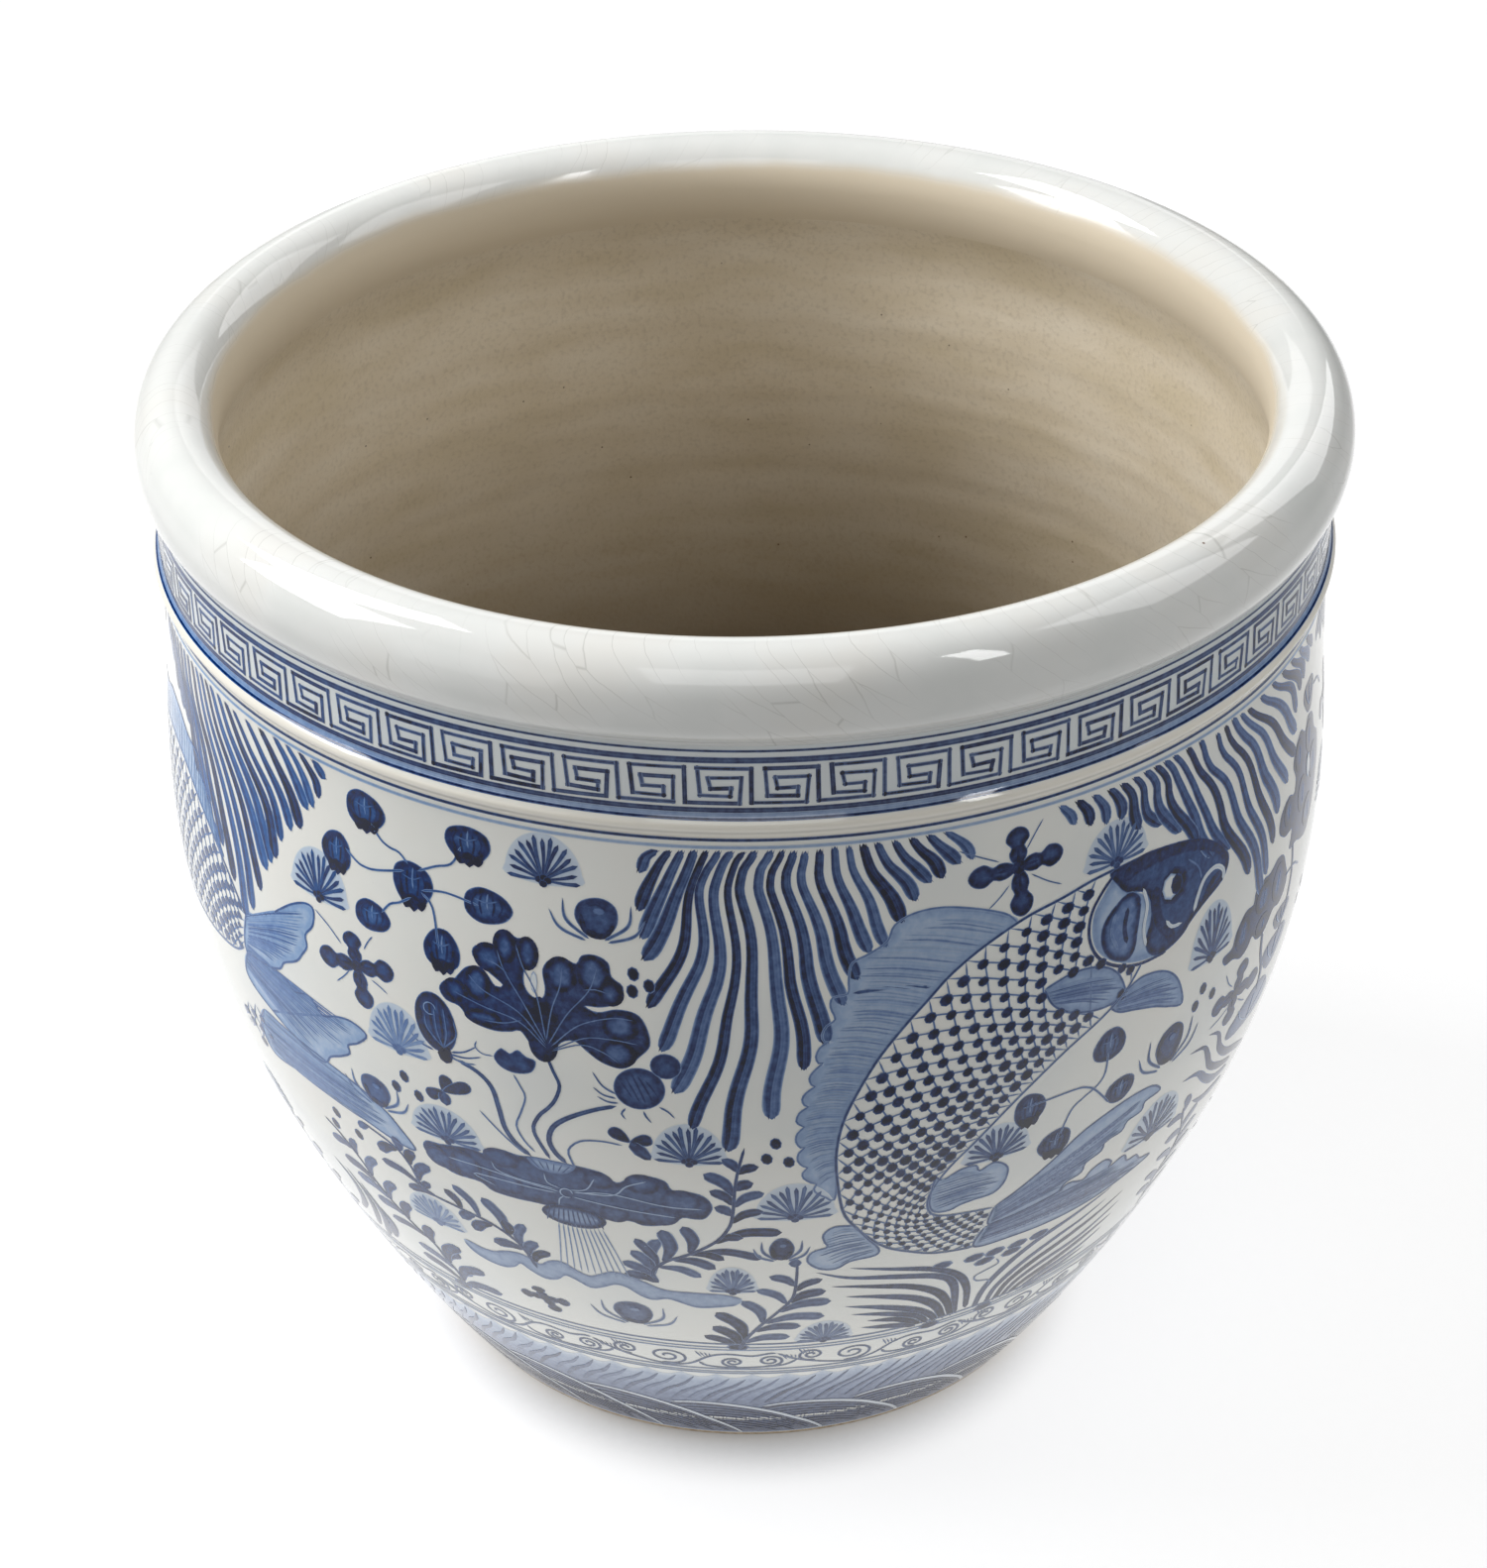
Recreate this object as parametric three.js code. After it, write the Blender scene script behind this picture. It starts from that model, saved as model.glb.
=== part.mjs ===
// A large porcelain jardiniere, also called a fish bowl: a deep round planter
// with a rolled rim, a short straight neck, a raised rib at the shoulder and a
// wall that swells to a belly and tapers to a narrow turned foot.
//
// Ware of this size is thrown on the wheel in rings, which are turned level and
// luted together with slip before firing. Each mesh is one of those rings. They
// stack on level faces along +Z. Units are millimetres. The origin is the
// centre of the foot, on the surface that the bowl stands on.

import * as THREE from "three";

// Turned foot and floor
const FOOT_RADIUS = 136;
const FOOT_RING_WIDTH = 17;
const FOOT_RING_HEIGHT = 10;
const FOOT_EDGE_BEVEL = 2.2;
const FLOOR_THICKNESS = 16;
const FLOOR_REBATE_DEPTH = 2;

// Wall, thrown as a lower and an upper ring
const LOWER_WALL_HEIGHT = 139;
const BELLY_RADIUS = 229;
const BELLY_RISE_ABOVE_SEAM = 97;
const SHOULDER_RISE = 93;
const WALL_AT_FLOOR = 17;
const WALL_AT_BELLY = 14;
const WALL_AT_NECK = 16;
const HEEL_RADIUS = 12;

// Straight neck and the rib that covers its lower seam
const NECK_RADIUS = 224;
const NECK_HEIGHT = 31;
const RIB_HEIGHT = 10;
const RIB_PROJECTION = 2.6;

// Rolled rim, an ellipse in section
const RIM_HALF_WIDTH = 16;
const RIM_HALF_HEIGHT = 19;
const RIM_OVERHANG = 6;

// Fullness of the lower wall: 1 is a plain quarter sine wave
const SWELL_POWER = 0.94;

// Facets
const ROUND_STEPS = 64;
const LOWER_WALL_STEPS = 7;
const BELLY_STEPS = 4;
const SHOULDER_STEPS = 4;
const HEEL_STEPS = 3;
const RIM_STEPS = 18;
const RIB_STEPS = 6;

const QUARTER_TURN = Math.PI / 2;

// Levels, from the foot up
const floorLevel = FOOT_RING_HEIGHT + FLOOR_THICKNESS;
const wallSeatLevel = floorLevel - FLOOR_REBATE_DEPTH;
const seamLevel = floorLevel + LOWER_WALL_HEIGHT;
const bellyLevel = seamLevel + BELLY_RISE_ABOVE_SEAM;
const shoulderLevel = bellyLevel + SHOULDER_RISE;
const neckLevel = shoulderLevel + RIB_HEIGHT / 2;
const rimLevel = neckLevel + NECK_HEIGHT;

// The rim's level seat is the chord of its ellipse that ends flush with the neck
const rimCentreRadius = NECK_RADIUS + RIM_OVERHANG - RIM_HALF_WIDTH;
const rimHalfSeat = NECK_RADIUS - rimCentreRadius;

const { lerp } = THREE.MathUtils;

// Radius of the outside of the wall at a level
function outerRadius(level) {
  if (level >= shoulderLevel) {
    return NECK_RADIUS;
  }
  if (level >= bellyLevel) {
    const turn = (Math.PI * (level - bellyLevel)) / SHOULDER_RISE;
    return lerp(NECK_RADIUS, BELLY_RADIUS, (1 + Math.cos(turn)) / 2);
  }
  const rise = Math.sin((QUARTER_TURN * level) / bellyLevel);
  return lerp(FOOT_RADIUS, BELLY_RADIUS, Math.pow(rise, SWELL_POWER));
}

// Thickness of the wall, measured level
function wallThickness(level) {
  if (level <= bellyLevel) {
    const share = (level - floorLevel) / (bellyLevel - floorLevel);
    return lerp(WALL_AT_FLOOR, WALL_AT_BELLY, share);
  }
  return lerp(WALL_AT_BELLY, WALL_AT_NECK, (level - bellyLevel) / (neckLevel - bellyLevel));
}

const innerRadius = (level) => outerRadius(level) - wallThickness(level);

// The hollow heel of the wall starts at its top and ends level with the floor
const heelLevel = floorLevel + HEEL_RADIUS;
const floorRadius = innerRadius(heelLevel) - HEEL_RADIUS;

const point = (radius, level) => new THREE.Vector2(radius, level);
const outside = (level) => point(outerRadius(level), level);
const inside = (level) => point(innerRadius(level), level);

// Values from low to high in equal steps, both ends included
function spaced(low, high, steps) {
  return Array.from({ length: steps + 1 }, (_, i) => low + ((high - low) * i) / steps);
}

// Turns a profile about the upright axis. The profile runs anticlockwise, with
// radius to the right and level upwards.
function turned(name, profile, material) {
  const geometry = new THREE.LatheGeometry(profile, ROUND_STEPS);
  geometry.rotateX(QUARTER_TURN);
  const mesh = new THREE.Mesh(geometry, material);
  mesh.name = name;
  return mesh;
}

// A ring's profile stays clear of the axis and closes on itself
function turnedRing(name, profile, material) {
  return turned(name, [...profile, profile[0]], material);
}

const wallGlaze = new THREE.MeshStandardMaterial({ color: "#dfe3e0", roughness: 0.12 });
const rimGlaze = new THREE.MeshStandardMaterial({ color: "#e4e8e5", roughness: 0.1 });
const cobaltBorder = new THREE.MeshStandardMaterial({ color: "#8fa3c4", roughness: 0.12 });
const buffGlaze = new THREE.MeshStandardMaterial({ color: "#a99b86", roughness: 0.45 });
const bareBody = new THREE.MeshStandardMaterial({ color: "#b7a58b", roughness: 0.8 });

// Turned foot, level underneath, with both lower edges eased
function footRing() {
  const inner = FOOT_RADIUS - FOOT_RING_WIDTH;
  const profile = [
    point(inner + FOOT_EDGE_BEVEL, 0),
    point(FOOT_RADIUS - FOOT_EDGE_BEVEL, 0),
    outside(FOOT_EDGE_BEVEL),
    outside(FOOT_RING_HEIGHT),
    point(inner, FOOT_RING_HEIGHT),
    point(inner, FOOT_EDGE_BEVEL),
  ];
  return turnedRing("foot_ring", profile, bareBody);
}

// Disc that closes the bottom, with the foot luted under it. The wall stands in
// a rebate round its edge.
function floorDisc() {
  const profile = [
    point(0, FOOT_RING_HEIGHT),
    outside(FOOT_RING_HEIGHT),
    outside(wallSeatLevel),
    point(floorRadius, wallSeatLevel),
    point(floorRadius, floorLevel),
    point(0, floorLevel),
  ];
  return turned("floor_disc", profile, buffGlaze);
}

// Tapered ring of the lower body, with a hollow heel where it meets the floor
function lowerWall() {
  const heel = spaced(0, -QUARTER_TURN, HEEL_STEPS).map((turn) =>
    point(
      floorRadius + HEEL_RADIUS * Math.cos(turn),
      heelLevel + HEEL_RADIUS * Math.sin(turn),
    ),
  );
  heel[HEEL_STEPS] = point(floorRadius, floorLevel);
  const profile = [
    ...spaced(wallSeatLevel, seamLevel, LOWER_WALL_STEPS).map(outside),
    ...spaced(seamLevel, heelLevel, LOWER_WALL_STEPS).slice(0, -1).map(inside),
    ...heel,
    point(floorRadius, wallSeatLevel),
  ];
  return turnedRing("lower_wall", profile, wallGlaze);
}

// Ring of the belly and shoulder, from the seam to the neck
function upperWall() {
  const levels = [
    ...spaced(seamLevel, bellyLevel, BELLY_STEPS),
    ...spaced(bellyLevel, shoulderLevel, SHOULDER_STEPS).slice(1),
    neckLevel,
  ];
  const profile = [...levels.map(outside), ...levels.reverse().map(inside)];
  return turnedRing("upper_wall", profile, wallGlaze);
}

// Straight ring that carries the fret border. It thickens to the rim's seat.
function neckCollar() {
  const profile = [
    inside(neckLevel),
    outside(neckLevel),
    outside(rimLevel),
    point(rimCentreRadius - rimHalfSeat, rimLevel),
  ];
  return turnedRing("neck_collar", profile, cobaltBorder);
}

// Low moulding laid round the seam between the upper wall and the neck
function shoulderRib() {
  const profile = spaced(-QUARTER_TURN, QUARTER_TURN, RIB_STEPS).map((turn) =>
    point(
      NECK_RADIUS + RIB_PROJECTION * Math.cos(turn),
      neckLevel + (RIB_HEIGHT / 2) * Math.sin(turn),
    ),
  );
  profile[0].x = NECK_RADIUS;
  profile[RIB_STEPS].x = NECK_RADIUS;
  return turnedRing("shoulder_rib", profile, wallGlaze);
}

// Thick roll that finishes the mouth
function rolledRim() {
  const seatTurn = Math.acos(rimHalfSeat / RIM_HALF_WIDTH);
  const centreLevel = rimLevel + RIM_HALF_HEIGHT * Math.sin(seatTurn);
  const profile = spaced(-seatTurn, Math.PI + seatTurn, RIM_STEPS).map((turn) =>
    point(
      rimCentreRadius + RIM_HALF_WIDTH * Math.cos(turn),
      centreLevel + RIM_HALF_HEIGHT * Math.sin(turn),
    ),
  );
  profile[0].y = rimLevel;
  profile[RIM_STEPS].y = rimLevel;
  return turnedRing("rolled_rim", profile, rimGlaze);
}

const jardiniere = new THREE.Group();
jardiniere.add(
  footRing(),
  floorDisc(),
  lowerWall(),
  upperWall(),
  neckCollar(),
  shoulderRib(),
  rolledRim(),
);

export default jardiniere;
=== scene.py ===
"""A large porcelain fish bowl, painted in underglaze blue with carp among water plants.

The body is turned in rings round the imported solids. The painting is thin brushwork that
lies on the wall: every stroke is a narrow mesh that carries how much cobalt it holds.
Painted places are given as (degrees round from the front, millimetres up the bowl).
"""

import math

import bpy
import numpy as np
from bpy.props import FloatProperty, FloatVectorProperty, IntProperty, PointerProperty
from mathutils import Matrix, Vector
from mathutils.geometry import delaunay_2d_cdt


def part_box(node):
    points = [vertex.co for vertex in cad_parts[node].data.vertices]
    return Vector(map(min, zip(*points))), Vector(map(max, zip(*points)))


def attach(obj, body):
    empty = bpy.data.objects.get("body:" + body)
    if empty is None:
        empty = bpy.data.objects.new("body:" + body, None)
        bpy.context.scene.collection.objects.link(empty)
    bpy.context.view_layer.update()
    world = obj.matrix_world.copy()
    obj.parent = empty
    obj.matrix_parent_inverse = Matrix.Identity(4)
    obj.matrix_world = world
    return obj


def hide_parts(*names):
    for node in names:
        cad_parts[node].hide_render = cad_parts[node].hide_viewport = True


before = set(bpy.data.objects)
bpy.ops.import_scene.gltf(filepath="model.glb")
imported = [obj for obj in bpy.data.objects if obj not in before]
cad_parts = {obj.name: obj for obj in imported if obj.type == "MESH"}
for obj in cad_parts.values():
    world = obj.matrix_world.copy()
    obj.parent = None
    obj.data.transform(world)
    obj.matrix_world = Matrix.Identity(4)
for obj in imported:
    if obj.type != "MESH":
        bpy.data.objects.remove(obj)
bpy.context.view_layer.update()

bl_info = {
    "name": "Porcelain fish bowl",
    "version": (1, 0, 0),
    "blender": (4, 5, 0),
    "location": "3D View > Sidebar > Fish bowl",
    "description": "Builds a blue-and-white porcelain jardiniere round its packed solids",
    "category": "Object",
}

MM = 0.001


def linear(hex_colour):
    """An sRGB hex colour as the linear red, green, blue and alpha that sockets take."""
    channels = [int(hex_colour[i : i + 2], 16) / 255 for i in (1, 3, 5)]
    return tuple(c / 12.92 if c <= 0.04045 else ((c + 0.055) / 1.055) ** 2.4 for c in channels) + (1.0,)


def high(node_name, axis):
    """The upper limit of a solid along an axis, in millimetres."""
    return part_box(node_name)[1][axis] / MM


# Sizes of the body in millimetres, read from the frame
FOOT_TOP = high("foot_ring", 2)
FOOT_TOP_RADIUS = high("foot_ring", 0)
FLOOR_LEVEL = high("floor_disc", 2)
SEAM_LEVEL = high("lower_wall", 2)
BELLY_RADIUS = high("upper_wall", 0)
UPPER_WALL_TOP = high("upper_wall", 2)
NECK_RADIUS = high("neck_collar", 0)
RIM_SEAT = high("neck_collar", 2)
RIB_TOP = high("shoulder_rib", 2)
RIB_PROJECTION = high("shoulder_rib", 0) - NECK_RADIUS
RIM_RADIUS = high("rolled_rim", 0)
RIM_TOP = high("rolled_rim", 2)

# Shares of those sizes that the solids follow
BELLY_SHARE = 97 / 195
SWELL_POWER = 0.94
RIM_SEAT_SHARE = 10 / 16
RIM_HALF_WIDTH = (RIM_RADIUS - NECK_RADIUS) / (1 - RIM_SEAT_SHARE)
RIM_CENTRE_RADIUS = RIM_RADIUS - RIM_HALF_WIDTH
RIM_SEAT_TURN = math.acos(RIM_SEAT_SHARE)
RIM_HALF_HEIGHT = (RIM_TOP - RIM_SEAT) / (1 + math.sin(RIM_SEAT_TURN))
RIM_CENTRE_LEVEL = RIM_TOP - RIM_HALF_HEIGHT

BELLY_LEVEL = SEAM_LEVEL + BELLY_SHARE * (UPPER_WALL_TOP - SEAM_LEVEL)
RIB_LEVEL = UPPER_WALL_TOP
RIB_HALF_HEIGHT = RIB_TOP - RIB_LEVEL
SHOULDER_LEVEL = RIB_LEVEL - RIB_HALF_HEIGHT

# Thickness of the wall and the shape of the floor
WALL_AT_FLOOR = 17
WALL_AT_BELLY = 14
WALL_AT_NECK = 16
HEEL_RADIUS = 12
FLOOR_REBATE_DEPTH = 2
FOOT_RING_WIDTH = 17
FOOT_EDGE_BEVEL = 2.2
GLAZE_END = 5.0

# How many points the curved sections have
HEEL_STEPS = 12
RIB_POINTS = 40
ROLL_STEPS = 90
ROLL_DROP_POINTS = 12
# How far the inside of the rim leans out from the roll down to its seat
RIM_LEAN = 3.0


def swell(level):
    return np.sin(np.pi / 2 * np.clip(level / BELLY_LEVEL, 0, 1)) ** SWELL_POWER


SWELL_AT_FOOT_TOP = swell(FOOT_TOP)
FOOT_RADIUS = (FOOT_TOP_RADIUS - BELLY_RADIUS * SWELL_AT_FOOT_TOP) / (1 - SWELL_AT_FOOT_TOP)


def wall_radius(level):
    """Radius of the outside of the wall, without the rib."""
    level = np.asarray(level, float)
    lower = FOOT_RADIUS + (BELLY_RADIUS - FOOT_RADIUS) * swell(level)
    turn = np.pi * np.clip((level - BELLY_LEVEL) / (SHOULDER_LEVEL - BELLY_LEVEL), 0, 1)
    upper = NECK_RADIUS + (BELLY_RADIUS - NECK_RADIUS) * (1 + np.cos(turn)) / 2
    return np.where(level < BELLY_LEVEL, lower, upper)


def rib_swell(level):
    """How far the rib stands out from the neck at a level."""
    share = np.clip(np.abs(np.asarray(level, float) - RIB_LEVEL) / RIB_HALF_HEIGHT, 0, 1)
    return RIB_PROJECTION * (1 + np.cos(np.pi * share)) / 2


def painted_radius(level):
    """Radius of the surface that the painter works on, rib and all."""
    return wall_radius(level) + rib_swell(level)


def wall_thickness(level):
    marks = (FLOOR_LEVEL, BELLY_LEVEL, UPPER_WALL_TOP)
    return np.interp(level, marks, (WALL_AT_FLOOR, WALL_AT_BELLY, WALL_AT_NECK))


def throwing_ring(level):
    """The soft spiral that the potter's fingers leave inside, as a change of radius."""
    rings = np.sin(level / 3.1 + 1.5 * np.sin(level / 23)) + 0.6 * np.sin(level / 1.9 + 2)
    return settings().ring_depth / MM * rings / 2


def inner_radius(level):
    return wall_radius(level) - wall_thickness(level) + throwing_ring(level)


# Sizes and colours that a user would change

class BowlSettings(bpy.types.PropertyGroup):
    columns: IntProperty(name="Columns", description="Facets round the bowl", default=512, min=64, max=1024)
    profile_step: FloatProperty(
        name="Profile step", description="Distance between rings of the section", default=2.2 * MM,
        unit="LENGTH",
    )
    ring_depth: FloatProperty(
        name="Ring depth", description="Depth of the throwing rings inside", default=0.16 * MM, unit="LENGTH"
    )
    glaze: FloatVectorProperty(
        name="Glaze", description="Clear glaze over white porcelain", subtype="COLOR", size=4,
        default=linear("#e6e7e2"),
    )
    rim_glaze: FloatVectorProperty(
        name="Rim glaze", description="Thicker glaze on the rim", subtype="COLOR", size=4,
        default=linear("#e6e7e4"),
    )
    buff: FloatVectorProperty(
        name="Buff", description="Thin glaze inside", subtype="COLOR", size=4, default=linear("#dcd0ba")
    )
    bare_body: FloatVectorProperty(
        name="Bare body", description="Unglazed foot", subtype="COLOR", size=4, default=linear("#b9a68c")
    )


class StageSettings(bpy.types.PropertyGroup):
    distance: FloatProperty(
        name="Distance", description="Camera to the middle of the bowl", default=1.41138, unit="LENGTH"
    )
    aim_level: FloatProperty(
        name="Aim level", description="Height of the point that the camera looks at", default=0.2308,
        unit="LENGTH",
    )
    pitch: FloatProperty(
        name="Pitch", description="How far the camera looks down", default=math.radians(33.0152),
        unit="ROTATION",
    )
    roll: FloatProperty(
        name="Roll", description="Turn of the camera about its view", default=math.radians(-0.505),
        unit="ROTATION",
    )
    focal_length: FloatProperty(name="Focal length", description="Lens in millimetres", default=79.52)
    floor_half: FloatProperty(
        name="Floor", description="Half the width of the floor", default=4.0, unit="LENGTH"
    )


def settings():
    return bpy.context.scene.bowl_settings


# Meshes

def new_object(name, vertices, faces, normals=None, uvs=None):
    """An object from arrays of vertices in millimetres, with its corner normals and UVs."""
    mesh = bpy.data.meshes.new(name)
    mesh.from_pydata((np.asarray(vertices) * MM).tolist(), [], faces)
    mesh.polygons.foreach_set("use_smooth", np.ones(len(mesh.polygons), bool))
    if uvs is not None:
        layer = mesh.uv_layers.new(name="OFBake")
        layer.data.foreach_set("uv", np.asarray(uvs, np.float32).ravel())
    mesh.update()
    if normals is not None:
        mesh.normals_split_custom_set(np.asarray(normals).tolist())
    made = bpy.data.objects.new(name, mesh)
    bpy.context.scene.collection.objects.link(made)
    return made


def section_normals(run):
    """Outward normals of a smooth stretch of a section that runs anticlockwise."""
    along = np.gradient(run, axis=0)
    across = np.column_stack((along[:, 1], -along[:, 0]))
    return across / np.linalg.norm(across, axis=1)[:, None]


# A point of a section that is nearer the axis than this lies on it
ON_AXIS = 1e-9


def turned(name, runs, finishes):
    """A closed solid turned about the upright axis, with one finish for each run.

    A run is a smooth stretch of (radius, level) points and starts where the last one
    ends; the section's corners lie between runs.
    """
    columns = settings().columns
    turn = np.arange(columns + 1) * 2 * np.pi / columns
    round_x = np.sin(turn)
    round_y = -np.cos(turn)
    section = np.vstack([run[:-1] for run in runs])
    open_ended = runs[-1][-1][0] < ON_AXIS
    if open_ended:
        section = np.vstack((section, runs[-1][-1:]))
    vertices = []
    first = []
    for radius, level in section:
        first.append(len(vertices))
        if radius < ON_AXIS:
            vertices.append((0.0, 0.0, level))
        else:
            vertices += [(radius * x, radius * y, level) for x, y in zip(round_x[:-1], round_y[:-1])]
    legs = [np.hypot(*(b - a)) for run in runs for a, b in zip(run, run[1:])]
    lengths = np.concatenate(([0], np.cumsum(legs)))
    lengths /= lengths[-1]
    faces = []
    normals = []
    uvs = []
    finish_of = []
    row = 0
    for index, run in enumerate(runs):
        run_normals = section_normals(run)
        for k in range(len(run) - 1):
            here = first[row]
            above = first[(row + 1) % len(section)]
            pole_here = run[k][0] < ON_AXIS
            pole_above = run[k + 1][0] < ON_AXIS
            ends = (run_normals[k], run_normals[k + 1])
            for i in range(columns):
                j = (i + 1) % columns
                if pole_here:
                    face = (here, above + j, above + i)
                    corners = ((i, 0), (i + 1, 1), (i, 1))
                elif pole_above:
                    face = (here + i, here + j, above)
                    corners = ((i, 0), (i + 1, 0), (i, 1))
                else:
                    face = (here + i, here + j, above + j, above + i)
                    corners = ((i, 0), (i + 1, 0), (i + 1, 1), (i, 1))
                faces.append(face)
                for column, end in corners:
                    out, up = ends[end]
                    normals.append((out * round_x[column], out * round_y[column], up))
                    uvs.append((column / columns, lengths[row + end]))
            finish_of += [index] * columns
            row += 1
    made = new_object(name, vertices, faces, normals, uvs)
    slots = list(dict.fromkeys(finishes))
    for finish in slots:
        made.data.materials.append(finish)
    numbers = [slots.index(finishes[i]) for i in finish_of]
    made.data.polygons.foreach_set("material_index", np.asarray(numbers, np.int32))
    return made


def levels(low, top):
    count = max(1, round(abs(top - low) * MM / settings().profile_step))
    return np.linspace(low, top, count + 1)


def run_of(radius_at, low, top):
    up = levels(low, top)
    return np.column_stack((radius_at(up), up))


def straight(*points):
    return np.array(points, float)


def arc(centre, half_width, half_height, start, stop, steps):
    turn = np.linspace(start, stop, steps + 1)
    return np.column_stack((centre[0] + half_width * np.cos(turn), centre[1] + half_height * np.sin(turn)))


# Materials

def node(tree, kind, values=None, links=None):
    """Adds a node. A capital or a number names a socket and a small letter a property."""
    made = tree.nodes.new(kind)
    for key, value in (values or {}).items():
        if key == "stops":
            ramp = made.color_ramp
            while len(ramp.elements) > 1:
                ramp.elements.remove(ramp.elements[-1])
            ramp.elements[0].position = value[0][0]
            ramp.elements[0].color = value[0][1]
            for position, colour in value[1:]:
                ramp.elements.new(position).color = colour
        elif isinstance(key, int) or key[0].isupper():
            made.inputs[key].default_value = value
        else:
            setattr(made, key, value)
    for key, source in (links or {}).items():
        tree.links.new(source, made.inputs[key])
    return made


def new_material(name):
    material = bpy.data.materials.new(name)
    material.use_nodes = True
    tree = material.node_tree
    tree.nodes.clear()
    return material, tree


# Fired glaze and porcelain both bend light by about this much
GLAZE_IOR = 1.5
WET_GLAZE = 0.07


def glaze_relief(tree):
    """The orange-peel of a fired glaze: soft swells about 14 mm wide, 0.05 mm deep.

    The painting uses the same relief as the bare glaze, so that highlights run on over it.
    """
    place = node(tree, "ShaderNodeTexCoord").outputs["Object"]
    swells = node(
        tree, "ShaderNodeTexNoise", {"Scale": 1 / (14 * MM), "Detail": 1.0, "Roughness": 0.4},
        {"Vector": place},
    )
    bump = node(tree, "ShaderNodeBump", {"Distance": 0.05 * MM}, {"Height": swells.outputs["Fac"]})
    return bump.outputs["Normal"]


def specks(tree, place, spacing, size, share):
    """1 on small round specks: one in each cell of the spacing, of which a share is kept."""
    cells = node(
        tree, "ShaderNodeTexVoronoi", {"Scale": 1 / spacing}, {"Vector": place}
    )
    edge = node(
        tree, "ShaderNodeMapRange",
        {"From Min": size / spacing, "From Max": 0.4 * size / spacing},
        {"Value": cells.outputs["Distance"]},
    )
    kept = node(tree, "ShaderNodeSeparateColor", {}, {"Color": cells.outputs["Color"]})
    chosen = node(tree, "ShaderNodeMath", {"operation": "LESS_THAN", 1: share}, {0: kept.outputs["Red"]})
    return node(
        tree, "ShaderNodeMath", {"operation": "MULTIPLY"}, {0: edge.outputs[0], 1: chosen.outputs[0]}
    ).outputs[0]


def finish_surface(tree, colour, normal, roughness):
    """The surface itself, with a roughness that is a number or comes from a socket."""
    values = {"IOR": GLAZE_IOR}
    links = {"Base Color": colour, "Normal": normal}
    if isinstance(roughness, float):
        values["Roughness"] = roughness
    else:
        links["Roughness"] = roughness
    surface = node(tree, "ShaderNodeBsdfPrincipled", values, links)
    node(tree, "ShaderNodeOutputMaterial", {}, {"Surface": surface.outputs[0]})
    return surface


def clear_glaze_on_porcelain():
    """Feldspathic clear glaze over white porcelain: near white and wet-looking, faintly blue where thick."""
    material, tree = new_material("clear_glaze_on_porcelain")
    place = node(tree, "ShaderNodeTexCoord").outputs["Object"]
    clouds = node(tree, "ShaderNodeTexNoise", {"Scale": 1 / (60 * MM), "Detail": 3.0}, {"Vector": place})
    ground = tuple(settings().glaze)
    colour = node(
        tree, "ShaderNodeValToRGB",
        {"stops": ((0.35, linear("#e1e3e0")), (0.5, ground), (0.7, linear("#e7e6e0")))},
        {"Fac": clouds.outputs["Fac"]},
    ).outputs["Color"]
    # The rib has no blue near it to tint its glaze, and looks creamier
    level = node(tree, "ShaderNodeSeparateXYZ", {}, {0: place}).outputs["Z"]
    above = node(
        tree, "ShaderNodeMapRange", {"From Min": 353 * MM, "From Max": 355 * MM}, {"Value": level}
    ).outputs[0]
    under = node(
        tree, "ShaderNodeMapRange", {"From Min": 363 * MM, "From Max": 361 * MM}, {"Value": level}
    ).outputs[0]
    rib = node(tree, "ShaderNodeMath", {"operation": "MULTIPLY"}, {0: above, 1: under}).outputs[0]
    # Between the rib and the rim the blue of the fret has bled into the glaze
    bled = node(
        tree, "ShaderNodeMapRange", {"From Min": 364 * MM, "From Max": 370 * MM, "To Max": 0.5},
        {"Value": level},
    ).outputs[0]
    pinholes = specks(tree, place, 22 * MM, 0.35 * MM, 0.3)
    for tint, share in (("#ece8dd", rib), ("#cfd9e0", bled), ("#8d7a68", pinholes)):
        mixed = {"data_type": "RGBA", 7: linear(tint)}
        colour = node(tree, "ShaderNodeMix", mixed, {0: share, 6: colour}).outputs[2]
    finish_surface(tree, colour, glaze_relief(tree), WET_GLAZE)
    return material


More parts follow.
